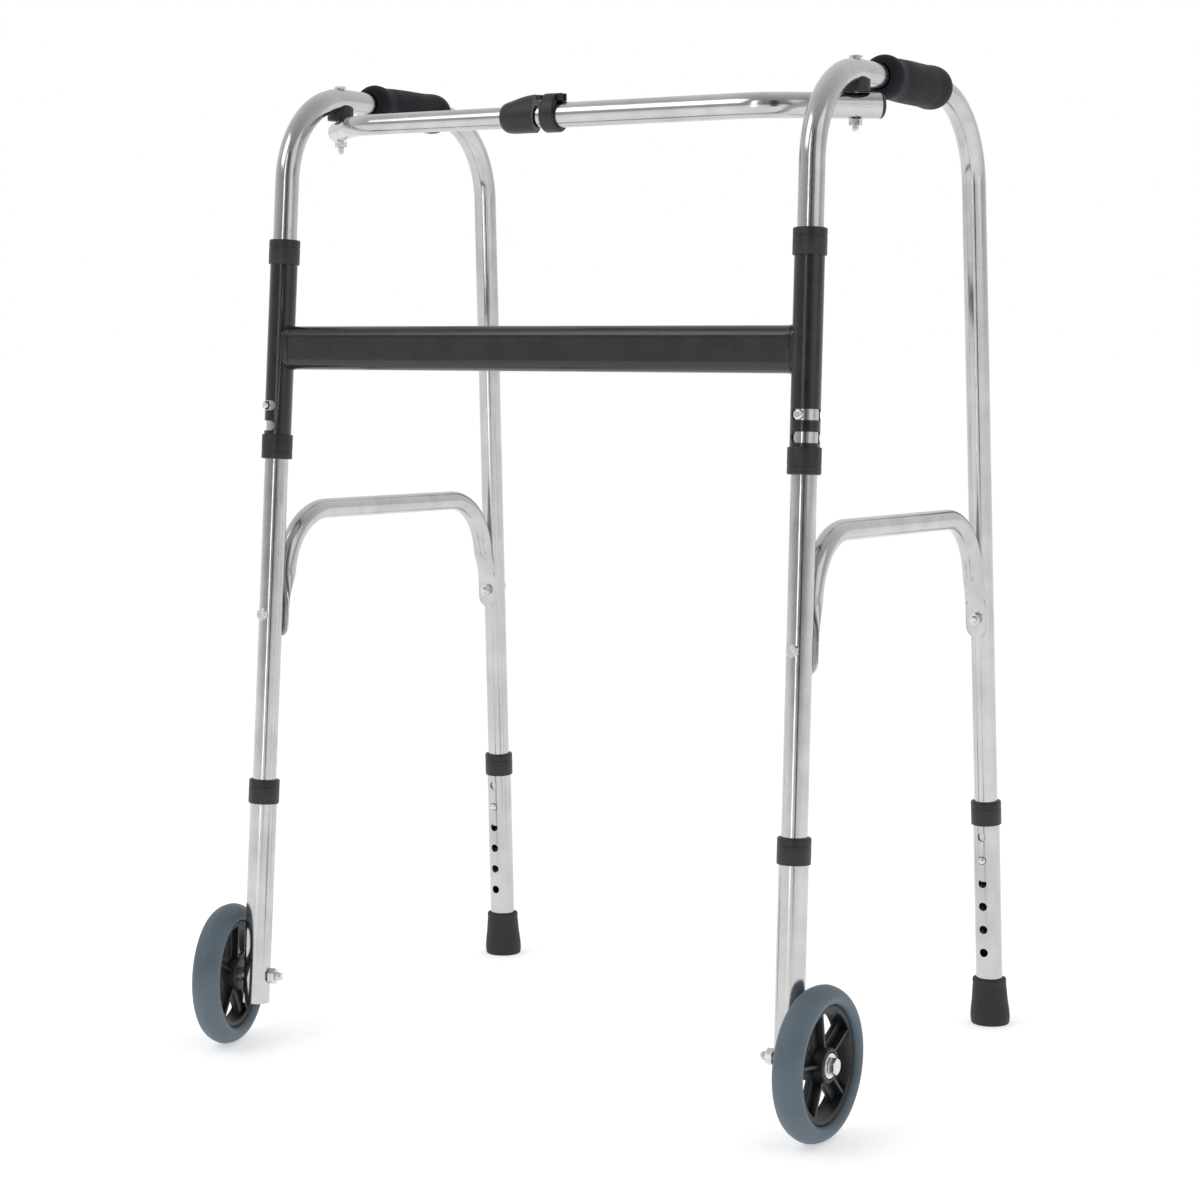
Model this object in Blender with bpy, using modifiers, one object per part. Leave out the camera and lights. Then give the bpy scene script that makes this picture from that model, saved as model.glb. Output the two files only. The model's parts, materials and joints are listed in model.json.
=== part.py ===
"""Folding two-wheel walking frame, as separate pieces in metres with +Z up.

+X is the right-hand side seen from the front, -Y is the front (wheels and
crossbar), and the floor is z = 0. Both side frames lie in planes that lean
in slightly towards the top. Each side frame turns about its own front leg.
"""
from math import atan2, cos, pi, radians, sin, sqrt, tan

import bmesh
import bpy
from mathutils import Matrix, Vector

GAP = 0.0003            # running clearance between neighbours
TUBE_SIDES = 16
BORE_SIDES = 12         # inside of the bent tubes
HOLE_SIDES = 8
BOLT_SIDES = 8
WHEEL_SIDES = 32
TUBE_WALL = 0.0012
LEG_R = 0.0111          # 22.2 mm side-frame tube
SLIDE_BORE_R = 0.0115   # bore of every tube or collar that a leg runs in
EXTENSION_R = 0.0127    # 25.4 mm leg extensions
SLEEVE_R = 0.0128

# lines of the legs: position at the floor and lean per metre of height
LEG_X = 0.2842
LEG_X_LEAN = 0.0120
FRONT_Y = -0.2276
FRONT_LEAN = 0.0736
REAR_Y = 0.2050
REAR_LEAN = 0.0471

HANDLE_Z = 0.8930       # height of the handle's centre line at y = 0
HANDLE_SLOPE = 0.025
FRONT_BEND_R = 0.085
REAR_BEND_R = 0.086
BEND_STEPS = 6
FRONT_TUBE_END_Z = 0.1750
REAR_TUBE_END_Z = 0.1430

GRIP_Y = (-0.040, 0.083)

SLEEVE_Z = (0.5643, 0.7524)
COLLAR_R = 0.0145
COLLAR_LENGTH = 0.0230
COLLAR_LIP = 0.0080     # part of a collar that closes over the tube's end
UPPER_COLLAR_Z = 0.7377
LOWER_COLLAR_Z = 0.5560
CROSSBAR_Z = 0.6600
CROSSBAR_HEIGHT = 0.0403
CROSSBAR_DEPTH = 0.0200
CROSSBAR_WALL = 0.0020
SLOT_Z = (0.6058, 0.5869)
SLOT_HEIGHT = 0.0093
SLOT_ANGLES = (radians(-18), radians(115))

BRACE_R = 0.009525
BRACE_Z = 0.5014        # height of the brace's centre line at y = 0
BRACE_SLOPE = 0.028
BRACE_BEND_R = 0.062
BRACE_FLAT = 0.0030     # thickness of the pressed ends
BRACE_PLATE = 0.030     # length of each flat end, and of the taper above it
BRACE_PRESS_LENGTH = 0.034
PRESS_STATIONS = (0.48, 0.61, 0.74, 0.87)
FRONT_BRACE_BOLT_Z = 0.4097
REAR_BRACE_BOLT_Z = 0.4003
FRONT_BRACE_TIP_Z = 0.3880
REAR_BRACE_TIP_Z = 0.3815

HOLE_PITCH = 0.0229
HOLE_COUNT = 6
BUTTON_HOLE = 1         # the buttons stand in the second hole from the top
HOLE_R = 0.0042
BUTTON_R = 0.0037
FRONT_COLLAR_Z = 0.2308
REAR_COLLAR_Z = 0.1980
FRONT_TOP_HOLE_Z = 0.2200
REAR_TOP_HOLE_Z = 0.1870
FRONT_EXTENSION_END_Z = 0.0410
REAR_EXTENSION_END_Z = 0.0095
TIP_HEIGHT = 0.0453
TIP_SOLE = 0.0085       # thickness of rubber under the leg

WHEEL_R = 0.0665
WHEEL_OUTBOARD = 0.0280
TYRE_WIDTH = 0.0280
RIM_R = 0.0508
RIM_WIDTH = 0.0240
WHEEL_TOE = {-1: radians(16), 1: 0.0}   # turn of each axle about the vertical
SPOKES = 5
SPOKE_TURN = radians(23)
AXLE_R = 0.0040

BAR_Z = 0.8660
BAR_Y = -0.1400
BAR_BOLT_Y = -0.0840
BAR_CORNER_X = 0.2150
BAR_BEND_R = 0.060
BAR_TAIL = {-1: 0.0140, 1: 0.0210}  # length of bar beyond its bolt, by side
SPACER_R = 0.0125
SPACER_TOP = 0.8885
THIN_BAR_R = 0.009525
THICK_BAR_R = 0.0111
THIN_BAR_END_X = -0.0180
THICK_BAR_END_X = -0.0100
CLIP_COLLAR_X = (-0.0470, -0.0107)
CLIP_BAND_X = (-0.0032, 0.0105)
CLIP_LOW_R = 0.0146
CLIP_TOP = 0.0194
LEVER_PIN_Z = 0.0155    # height of the lever's pin above the bar's centre
CLIP_RELIEF = 0.25      # slope of the V that opens to the rear between the two halves
M6_R = 0.0030
M6_HOLE_R = 0.0034

FINISHES = {            # colour, roughness, metallic
    "tube": ((0.78, 0.79, 0.80), 0.22, 1.0),
    "zinc": ((0.72, 0.74, 0.74), 0.35, 1.0),
    "black_paint": ((0.012, 0.013, 0.015), 0.18, 0.0),
    "black_plastic": ((0.022, 0.024, 0.028), 0.50, 0.0),
    "rubber": ((0.030, 0.033, 0.038), 0.75, 0.0),
    "tyre": ((0.110, 0.150, 0.190), 0.70, 0.0),
    "grip": ((0.016, 0.017, 0.020), 0.60, 0.0),
}


# ---------------------------------------------------------------- building tools

def clear_scene():
    for obj in list(bpy.data.objects):
        bpy.data.objects.remove(obj, do_unlink=True)


def make_material(name, finish):
    colour, roughness, metallic = FINISHES[finish]
    material = bpy.data.materials.new(name + "_finish")
    material.use_nodes = True
    shader = material.node_tree.nodes["Principled BSDF"]
    shader.inputs["Base Color"].default_value = (*colour, 1.0)
    shader.inputs["Roughness"].default_value = roughness
    shader.inputs["Metallic"].default_value = metallic
    return material


def link(name, data):
    obj = bpy.data.objects.new(name, data)
    PARTS.objects.link(obj)
    return obj


def finish(obj, finish_name, name=None, smooth=True):
    """Give a piece its name, its own material and its shading."""
    if name:
        obj.name = name
        obj.data.name = name
    obj.data.materials.clear()
    obj.data.materials.append(make_material(obj.name, finish_name))
    if smooth:
        obj.data.shade_smooth()
        obj.data.set_sharp_from_angle(angle=radians(35))
    return obj


def baked(obj):
    """Replace an object by its evaluated, welded mesh."""
    bpy.context.view_layer.update()
    graph = bpy.context.evaluated_depsgraph_get()
    mesh = bpy.data.meshes.new_from_object(obj.evaluated_get(graph))
    mesh.transform(obj.matrix_world)
    name = obj.name
    bpy.data.objects.remove(obj, do_unlink=True)
    bm = bmesh.new()
    bm.from_mesh(mesh)
    bmesh.ops.remove_doubles(bm, verts=bm.verts, dist=0.000001)
    bmesh.ops.recalc_face_normals(bm, faces=bm.faces)
    bm.to_mesh(mesh)
    bm.free()
    return link(name, mesh)


def combine(target, operation, *tools):
    """Boolean each tool into the target and remove the tools."""
    for tool in tools:
        modifier = target.modifiers.new("cut", "BOOLEAN")
        modifier.operation = operation
        modifier.solver = "EXACT"
        modifier.object = tool
        target = baked(target)
        bpy.data.objects.remove(tool, do_unlink=True)
    return target


def cut(target, *tools):
    return combine(target, "DIFFERENCE", *tools)


def join(target, *tools):
    return combine(target, "UNION", *tools)


def from_bmesh(bm, matrix=None):
    if matrix is not None:
        bmesh.ops.transform(bm, matrix=matrix, verts=bm.verts)
    mesh = bpy.data.meshes.new("shape")
    bm.to_mesh(mesh)
    bm.free()
    return link("shape", mesh)


def aligned(origin, direction, side_hint=Vector((1, 0, 0))):
    """A frame at origin with Z along direction and X as near side_hint as it can be."""
    z = direction.normalized()
    y = z.cross(side_hint).normalized()
    x = y.cross(z)
    matrix = Matrix((x, y, z)).transposed().to_4x4()
    matrix.translation = origin
    return matrix


def cylinder(start, end, radius, sides=TUBE_SIDES):
    start = Vector(start)
    end = Vector(end)
    bm = bmesh.new()
    bmesh.ops.create_cone(bm, cap_ends=True, segments=sides, radius1=radius,
                          radius2=radius, depth=(end - start).length)
    direction = end - start
    hint = Vector((1, 0, 0)) if abs(direction.normalized().x) < 0.9 else Vector((0, 1, 0))
    return from_bmesh(bm, aligned((start + end) / 2, direction, hint))


def block(low, high, matrix=None, bevel=0.0):
    low = Vector(low)
    high = Vector(high)
    bm = bmesh.new()
    bmesh.ops.create_cube(bm, size=1.0)
    bmesh.ops.transform(bm, matrix=Matrix.Diagonal((*(high - low), 1.0)), verts=bm.verts)
    bmesh.ops.translate(bm, vec=(low + high) / 2, verts=bm.verts)
    if bevel:
        bmesh.ops.bevel(bm, geom=bm.edges, offset=bevel, segments=2, profile=0.5,
                        affect="EDGES")
    return from_bmesh(bm, matrix)


def turned(profile, matrix, sides=TUBE_SIDES, ring=False):
    """Turn (radius, height) points about Z, listed down the outer side."""
    bm = bmesh.new()
    points = [bm.verts.new((r, 0, h)) for r, h in profile]
    for a, b in zip(points, points[1:]):
        bm.edges.new((a, b))
    if ring:
        bm.edges.new((points[-1], points[0]))
    obj = from_bmesh(bm)
    screw = obj.modifiers.new("turn", "SCREW")
    screw.steps = sides
    screw.render_steps = sides
    screw.use_merge_vertices = True
    screw.merge_threshold = 0.00001
    obj.matrix_world = matrix
    return baked(obj)


def rounded(corners):
    """Bend a list of (point, radius) into one path with round corners."""
    path = [corners[0][0]]
    for before, (corner, radius), after in zip(corners, corners[1:], corners[2:]):
        a = (before[0] - corner).normalized()
        b = (after[0] - corner).normalized()
        half = a.angle(b) / 2
        centre = corner + (a + b).normalized() * radius / sin(half)
        first = corner + a * radius / tan(half) - centre
        last = corner + b * radius / tan(half) - centre
        turn = first.angle(last)
        for i in range(BEND_STEPS + 1):
            t = i / BEND_STEPS
            arm = first * sin((1 - t) * turn) + last * sin(t * turn)
            path.append(centre + arm / sin(turn))
    path.append(corners[-1][0])
    return path


def rod(path, radius, sides=TUBE_SIDES):
    """A solid round bar along a path."""
    curve = bpy.data.curves.new("rod", "CURVE")
    curve.dimensions = "3D"
    curve.bevel_depth = radius
    curve.bevel_resolution = (sides - 4) // 2
    curve.use_fill_caps = True
    spline = curve.splines.new("POLY")
    spline.points.add(len(path) - 1)
    for point, place in zip(spline.points, path):
        point.co = (*place, 1.0)
    return baked(link("rod", curve))


def tube(path, radius, wall=TUBE_WALL):
    """A hollow tube along a path, open at both ends."""
    overrun = 0.004
    first = path[0] + (path[0] - path[1]).normalized() * overrun
    last = path[-1] + (path[-1] - path[-2]).normalized() * overrun
    core = rod([first, *path[1:-1], last], radius - wall, BORE_SIDES)
    return cut(rod(path, radius), core)


def extruded(outline, half_depth, matrix):
    """A flat outline in XY made solid along Z."""
    curve = bpy.data.curves.new("outline", "CURVE")
    curve.dimensions = "2D"
    curve.fill_mode = "BOTH"
    curve.extrude = half_depth
    spline = curve.splines.new("POLY")
    spline.points.add(len(outline) - 1)
    spline.use_cyclic_u = True
    for point, (x, y) in zip(spline.points, outline):
        point.co = (x, y, 0, 1)
    obj = link("outline", curve)
    obj.matrix_world = matrix
    return baked(obj)


def hexagon(start, end, across_flats):
    return cylinder(start, end, across_flats / sqrt(3), 6)


def bolt(name, head_face, direction, length, across_flats=0.010, head=0.0035, radius=M6_R,
         sides=BOLT_SIDES):
    """A hex bolt whose head stands behind head_face and whose shank runs along direction."""
    top = head_face - direction * head
    body = cylinder(head_face - direction * head / 2, head_face + direction * length,
                    radius, sides)
    return finish(join(hexagon(top, head_face, across_flats), body), "zinc", name)


def nut(name, start, direction, thickness=0.0050, across_flats=0.010, bore=M6_HOLE_R,
        sides=BOLT_SIDES):
    shape = hexagon(start, start + direction * thickness, across_flats)
    hole = cylinder(start - direction * thickness, start + direction * 2 * thickness, bore, sides)
    return finish(cut(shape, hole), "zinc", name)


# ---------------------------------------------------------------- lines of the frame

def front_leg(side, z):
    return Vector((side * (LEG_X - LEG_X_LEAN * z), FRONT_Y + FRONT_LEAN * z, z))


def rear_leg(side, z):
    return Vector((side * (LEG_X - LEG_X_LEAN * z), REAR_Y - REAR_LEAN * z, z))


def on_leg(leg, side, z):
    """A frame on a leg at height z: Z up the leg, -Y to the front."""
    return aligned(leg(side, z), leg(side, 1.0) - leg(side, 0.0))


def handle_corner(side, base_y, lean):
    z = (HANDLE_Z - HANDLE_SLOPE * base_y) / (1 + HANDLE_SLOPE * lean)
    return Vector((side * (LEG_X - LEG_X_LEAN * z), base_y + lean * z, z))


def handle_point(side, y):
    z = HANDLE_Z - HANDLE_SLOPE * y
    return Vector((side * (LEG_X - LEG_X_LEAN * z), y, z))


def bar_bolt(side):
    x = side * (LEG_X - LEG_X_LEAN * HANDLE_Z)
    return Vector((x, BAR_BOLT_Y, BAR_Z))


def button_height(top_hole_z):
    return top_hole_z - BUTTON_HOLE * HOLE_PITCH


def side_name(side):
    return "right" if side > 0 else "left"


# ---------------------------------------------------------------- fixed cross frame

def stadium(height, depth):
    """An upright oval outline with round ends."""
    r = depth / 2
    straight = height / 2 - r
    steps = 5
    top = [(r * cos(pi * i / steps), straight + r * sin(pi * i / steps))
           for i in range(steps + 1)]
    return top + [(-x, -y) for x, y in top]


def arc_block(matrix, radii, angles, half_height):
    """A curved block about Z. Angles run from -Y towards +X."""
    steps = 4
    bm = bmesh.new()
    bmesh.ops.create_cube(bm, size=1.0)
    long_edges = [e for e in bm.edges if abs(e.verts[0].co.x - e.verts[1].co.x) > 0.5]
    bmesh.ops.subdivide_edges(bm, edges=long_edges, cuts=steps)
    for vert in bm.verts:
        angle = angles[0] + (vert.co.x + 0.5) * (angles[1] - angles[0])
        radius = radii[0] + (vert.co.y + 0.5) * (radii[1] - radii[0])
        height = vert.co.z * 2 * half_height
        vert.co = (radius * sin(angle), -radius * cos(angle), height)
    bmesh.ops.recalc_face_normals(bm, faces=bm.faces)
    return from_bmesh(bm, matrix)


def radial_pin(matrix, angle, inner, outer, radius, sides=HOLE_SIDES):
    direction = Vector((sin(angle), -cos(angle), 0))
    start = matrix @ (direction * inner)
    end = matrix @ (direction * outer)
    return cylinder(start, end, radius, sides)


def sleeve_slots(side):
    """Cutters for the two slots that the stud and the leg show through."""
    cutters = []
    for z in SLOT_Z:
        matrix = on_leg(front_leg, side, z)
        angles = sorted(side * angle for angle in SLOT_ANGLES)
        radii = (0.009, 0.020)
        cutters.append(arc_block(matrix, radii, angles, SLOT_HEIGHT / 2))
        for angle in angles:
            cutters.append(radial_pin(matrix, angle, *radii, SLOT_HEIGHT / 2))
    return cutters


def make_cross_frame():
    """Two sleeves on the front legs joined by the flat oval crossbar."""
    middle = Vector((0, FRONT_Y + FRONT_LEAN * CROSSBAR_Z, CROSSBAR_Z))
    across = Matrix(((0, 0, 1, 0), (1, 0, 0, 0), (0, 1, 0, 0), (0, 0, 0, 1)))
    across = Matrix.Translation(middle) @ across
    sleeve_x = LEG_X - LEG_X_LEAN * CROSSBAR_Z
    frame = extruded(stadium(CROSSBAR_HEIGHT, CROSSBAR_DEPTH), sleeve_x - 0.004, across)
    for side in (-1, 1):
        ends = [front_leg(side, z) for z in SLEEVE_Z]
        frame = join(frame, rod(ends, SLEEVE_R))
    inside = stadium(CROSSBAR_HEIGHT - 2 * CROSSBAR_WALL, CROSSBAR_DEPTH - 2 * CROSSBAR_WALL)
    frame = cut(frame, extruded(inside, sleeve_x - 0.006, across))
    for side in (-1, 1):
        ends = [front_leg(side, SLEEVE_Z[0] - 0.01), front_leg(side, SLEEVE_Z[1] + 0.01)]
        frame = cut(frame, rod(ends, SLIDE_BORE_R))
        frame = cut(frame, *sleeve_slots(side))
    return finish(frame, "black_paint", "cross_frame")


def make_collar(name, leg, side, z, tube_r, lip_on_top):
    """A plastic end collar: a lip that runs on the leg and a cup over the tube's end."""
    r = COLLAR_R
    cup_r = tube_r + GAP
    edge = 0.0012
    profile = [(SLIDE_BORE_R, COLLAR_LENGTH), (r - edge, COLLAR_LENGTH),
               (r, COLLAR_LENGTH - edge), (r, 0.0006), (r - 0.0006, 0.0), (cup_r, 0.0),
               (cup_r, COLLAR_LENGTH - COLLAR_LIP), (SLIDE_BORE_R, COLLAR_LENGTH - COLLAR_LIP)]
    if not lip_on_top:
        profile = [(radius, COLLAR_LENGTH - h) for radius, h in reversed(profile)]
    shape = turned(profile, on_leg(leg, side, z), ring=True)
    return finish(shape, "black_plastic", name)


# ---------------------------------------------------------------- side frames

def brace_points(side):
    """Centre line of the brace: down the back of the front leg, over, and down again."""
    offset = LEG_R + GAP + BRACE_R
    front_shift = offset * sqrt(1 + FRONT_LEAN ** 2)
    rear_shift = -offset * sqrt(1 + REAR_LEAN ** 2)

    def corner(base_y, lean):
        z = (BRACE_Z - BRACE_SLOPE * base_y) / (1 + BRACE_SLOPE * lean)
        return Vector((side * (LEG_X - LEG_X_LEAN * z), base_y + lean * z, z))

    front_tip = front_leg(side, FRONT_BRACE_TIP_Z) + Vector((0, front_shift, 0))
    rear_tip = rear_leg(side, REAR_BRACE_TIP_Z) + Vector((0, rear_shift, 0))
    return [(front_tip, 0.0), (corner(FRONT_Y + front_shift, FRONT_LEAN), BRACE_BEND_R),
            (corner(REAR_Y + rear_shift, -REAR_LEAN), BRACE_BEND_R), (rear_tip, 0.0)]


def press_end(obj, leg, side, tip_z):
    """Press the brace's straight end flat against its leg."""
    matrix = on_leg(leg, side, tip_z)
    inverse = matrix.inverted()
    towards = 1.0 if leg is front_leg else -1.0
    near = LEG_R + GAP
    for vert in obj.data.vertices:
        local = inverse @ vert.co
        share = min(max((local.z - BRACE_PLATE) / BRACE_PRESS_LENGTH, 0.0), 1.0)
        smooth = share * share * (3 - 2 * share)
        if share >= 1.0 or towards * local.y > near + 2.5 * BRACE_R:
            continue
        flat = BRACE_FLAT / (2 * BRACE_R)
        squeeze = flat + (1 - flat) * smooth
        local.y = towards * (near + (towards * local.y - near) * squeeze)
        local.x *= 1.0 + 0.22 * (1 - smooth)
        vert.co = matrix @ local


def make_brace(side):
    """An arched tube whose pressed ends bolt to the two legs."""
    path = rounded(brace_points(side))
    dense = [path[0]]
    dense += [path[0].lerp(path[1], share) for share in PRESS_STATIONS]
    dense += path[1:-1]
    dense += [path[-1].lerp(path[-2], share) for share in reversed(PRESS_STATIONS)]
    dense.append(path[-1])
    brace = rod(dense, BRACE_R, 12)
    press_end(brace, front_leg, side, FRONT_BRACE_TIP_Z)
    press_end(brace, rear_leg, side, REAR_BRACE_TIP_Z)
    for leg, z in ((front_leg, FRONT_BRACE_BOLT_Z), (rear_leg, REAR_BRACE_BOLT_Z)):
        brace = cut(brace, leg_hole(leg, side, z, M6_HOLE_R))
    return finish(brace, "tube", side_name(side) + "_brace")


def leg_hole(leg, side, z, radius, both=True, angle=0.0):
    """A cutter through a leg from front to back, or through one wall only."""
    matrix = on_leg(leg, side, z)
    inner = -0.030 if both else 0.004
    return radial_pin(matrix, angle, inner, 0.030, radius)


def side_path(side):
    """The side tube's centre line, up one leg, over the handle and down the other."""
    return rounded([(front_leg(side, FRONT_TUBE_END_Z), 0.0),
                    (handle_corner(side, FRONT_Y, FRONT_LEAN), FRONT_BEND_R),
                    (handle_corner(side, REAR_Y, -REAR_LEAN), REAR_BEND_R),
                    (rear_leg(side, REAR_TUBE_END_Z), 0.0)])


def make_side_tube(side):
    shape = tube(side_path(side), LEG_R)
    above = bar_bolt(side) + Vector((0, 0, 0.060))
    below = bar_bolt(side)
    front_button = button_height(FRONT_TOP_HOLE_Z)
    rear_button = button_height(REAR_TOP_HOLE_Z)
    shape = cut(
        shape,
        cylinder(below, above, M6_HOLE_R, BOLT_SIDES),
        leg_hole(front_leg, side, SLOT_Z[0], 0.0027, both=False),
        leg_hole(front_leg, side, FRONT_BRACE_BOLT_Z, M6_HOLE_R),
        leg_hole(rear_leg, side, REAR_BRACE_BOLT_Z, M6_HOLE_R),
        leg_hole(front_leg, side, front_button, HOLE_R, both=False, angle=pi),
        leg_hole(rear_leg, side, rear_button, HOLE_R, both=False),
    )
    return finish(shape, "tube", side_name(side) + "_side_tube")


def make_grip(side):
    """A moulded grip with a rounded hump at each end of the hand hold."""
    start = handle_point(side, GRIP_Y[0])
    end = handle_point(side, GRIP_Y[1])
    length = (end - start).length
    bore = LEG_R + 0.0006
    outer = [(0.0126, 0.0), (0.0170, 0.004), (0.0195, 0.010), (0.0184, 0.026),
             (0.0190, 0.055), (0.0189, 0.092), (0.0198, 0.108), (0.0180, 0.118),
             (0.0130, length)]
    profile = [(bore, length)] + list(reversed(outer)) + [(bore, 0.0)]
    shape = turned(profile, aligned(start, end - start), ring=True)
    return finish(shape, "grip", side_name(side) + "_hand_grip")


def make_stud(side):
    """The stud on the leg that runs in the sleeve's upper slot."""
    matrix = on_leg(front_leg, side, SLOT_Z[0])
    radial = matrix @ Matrix.Rotation(pi / 2, 4, "X")
    head_r = 0.0042
    profile = [(0.0, 0.0150), (0.0014, 0.0150), (0.0014, 0.0142), (0.0022, 0.0142),
               (0.0030, 0.0150), (head_r, 0.0141), (head_r, 0.0114), (0.0024, 0.0114),
               (0.0024, 0.0088), (0.0, 0.0088)]
    shape = turned(profile, radial, HOLE_SIDES)
    return finish(shape, "zinc", side_name(side) + "_sleeve_stud")


def ribbon(points, thickness):
    """The closed outline of a bent strip of even thickness."""
    left = []
    right = []
    for i, (x, y) in enumerate(points):
        ax, ay = points[max(i - 1, 0)]
        bx, by = points[min(i + 1, len(points) - 1)]
        length = sqrt((bx - ax) ** 2 + (by - ay) ** 2)
        nx = -(by - ay) / length * thickness / 2
        ny = (bx - ax) / length * thickness / 2
        left.append((x + nx, y + ny))
        right.append((x - nx, y - ny))
    return left + right[::-1]


def make_snap_button(name, leg, side, z, faces_front):
    """A domed button on a folded strip spring inside the leg."""
    matrix = on_leg(leg, side, z)
    if not faces_front:
        matrix = matrix @ Matrix.Rotation(pi, 4, "Z")
    radial = matrix @ Matrix.Rotation(pi / 2, 4, "X")
    reach = 0.0084
    bend = 0.0260
    strip = [(reach, -0.010), (reach, 0.012), (0.006, 0.022), (0.0, bend),
             (-0.006, 0.022), (-reach, 0.012), (-reach, -0.004)]
    plane = matrix @ Matrix(((0, 0, 1, 0), (-1, 0, 0, 0), (0, 1, 0, 0), (0, 0, 0, 1)))
    spring = extruded(ribbon(strip, 0.0008), 0.0035, plane)
    dome = [(0.0, 0.0152), (0.0018, 0.0149), (0.0032, 0.0140), (BUTTON_R, 0.0128),
            (BUTTON_R, 0.0083), (0.0, 0.0083)]
    return finish(join(spring, turned(dome, radial, HOLE_SIDES)), "zinc", name)


# ---------------------------------------------------------------- leg extensions

def make_extension(name, leg, side, ends, top_hole_z, hole_angle, axle_hole=False):
    shape = rod([leg(side, ends[1]), leg(side, ends[0])], EXTENSION_R)
    bore = rod([leg(side, ends[1] + 0.01), leg(side, ends[0] - 0.01)], SLIDE_BORE_R)
    shape = cut(shape, bore)
    matrix = on_leg(leg, side, top_hole_z)
    for i in range(HOLE_COUNT):
        at = matrix @ Matrix.Translation((0, 0, -i * HOLE_PITCH))
        shape = cut(shape, radial_pin(at, hole_angle, 0.004, 0.030, HOLE_R))
    if axle_hole:
        centre = front_leg(side, WHEEL_R)
        reach = axle_out(side) * 0.030
        shape = cut(shape, cylinder(centre - reach, centre + reach, AXLE_R + GAP, 12))
    return finish(shape, "tube", name)


def make_rubber_tip(side):
    """A rubber foot whose sole lies flat on the floor."""
    bore = EXTENSION_R + GAP
    top = TIP_HEIGHT
    profile = [(bore, top), (0.0160, top), (0.0166, top - 0.0015), (0.0172, top - 0.011),
               (0.0186, 0.016), (0.0191, 0.010), (0.0188, 0.0015), (0.0180, 0.0),
               (0.0, 0.0), (0.0, TIP_SOLE), (bore, TIP_SOLE)]
    bm = bmesh.new()
    points = [bm.verts.new((r, 0, h)) for r, h in profile[:9]]
    for a, b in zip(points, points[1:]):
        bm.edges.new((a, b))
    inner = [bm.verts.new((r, 0, h)) for r, h in profile[9:]]
    bm.edges.new((inner[0], inner[1]))
    bm.edges.new((inner[1], points[0]))
    obj = from_bmesh(bm)
    screw = obj.modifiers.new("turn", "SCREW")
    screw.steps = TUBE_SIDES
    screw.render_steps = TUBE_SIDES
    screw.use_merge_vertices = True
    screw.merge_threshold = 0.00001
    shape = baked(obj)
    base = rear_leg(side, 0.0)
    for vert in shape.data.vertices:
        lean = rear_leg(side, vert.co.z) - base
        vert.co = base + vert.co + Vector((lean.x, lean.y, 0))
    return finish(shape, "rubber", side_name(side) + "_rubber_tip")


# ---------------------------------------------------------------- wheels

def axle_out(side):
    """Unit vector along the axle, pointing outboard."""
    toe = WHEEL_TOE[side]
    return Vector((side * cos(toe), side * sin(toe), 0))


def wheel_matrix(side):
    """A frame at the wheel's centre with Z pointing outboard and Y up."""
    out = axle_out(side)
    return aligned(front_leg(side, WHEEL_R) + out * WHEEL_OUTBOARD, out,
                   Vector((-out.y, out.x, 0)))


def make_tyre(side):
    half = TYRE_WIDTH / 2
    seat = RIM_R + GAP
    profile = [(seat, half - 0.0030), (0.0560, half - 0.0004), (0.0620, half - 0.0036),
               (0.0654, half - 0.0086), (WHEEL_R, 0.0)]
    profile += [(r, -h) for r, h in reversed(profile[:-1])]
    shape = turned(profile, wheel_matrix(side), WHEEL_SIDES, ring=True)
    return finish(shape, "tyre", side_name(side) + "_tyre")


def make_hub(side):
    """A moulded hub: rim, boss and five webbed spokes."""
    matrix = wheel_matrix(side)
    half = RIM_WIDTH / 2
    inner = 0.0452
    rim = [(RIM_R, half - 0.0010), (RIM_R, -half + 0.0010), (RIM_R - 0.0010, -half),
           (inner, -half), (inner, half), (RIM_R - 0.0010, half)]
    hub = turned(rim, matrix, WHEEL_SIDES, ring=True)
    boss_half = 0.0115
    boss_r = 0.0150
    hub_bore = 0.0068
    web = []
    for i in range(SPOKES):
        turn = matrix @ Matrix.Rotation(2 * pi * i / SPOKES + SPOKE_TURN, 4, "Z")
        web.append(block((0.0105, -0.0095, -0.0045), (0.0463, 0.0095, 0.0015), turn))
        web.append(block((0.0090, -0.0013, -0.0095), (0.0470, 0.0013, 0.0085), turn))
    boss = cylinder(matrix @ Vector((0, 0, -boss_half)), matrix @ Vector((0, 0, boss_half)),
                    boss_r, 16)
    recess = cylinder(matrix @ Vector((0, 0, boss_half - 0.0022)),
                      matrix @ Vector((0, 0, 0.02)), 0.0118, 16)
    bore = cylinder(matrix @ Vector((0, 0, -0.02)), matrix @ Vector((0, 0, 0.02)), hub_bore, 16)
    hub = cut(join(boss, *web, hub), recess, bore)
    return finish(hub, "black_plastic", side_name(side) + "_wheel_hub")


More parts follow.
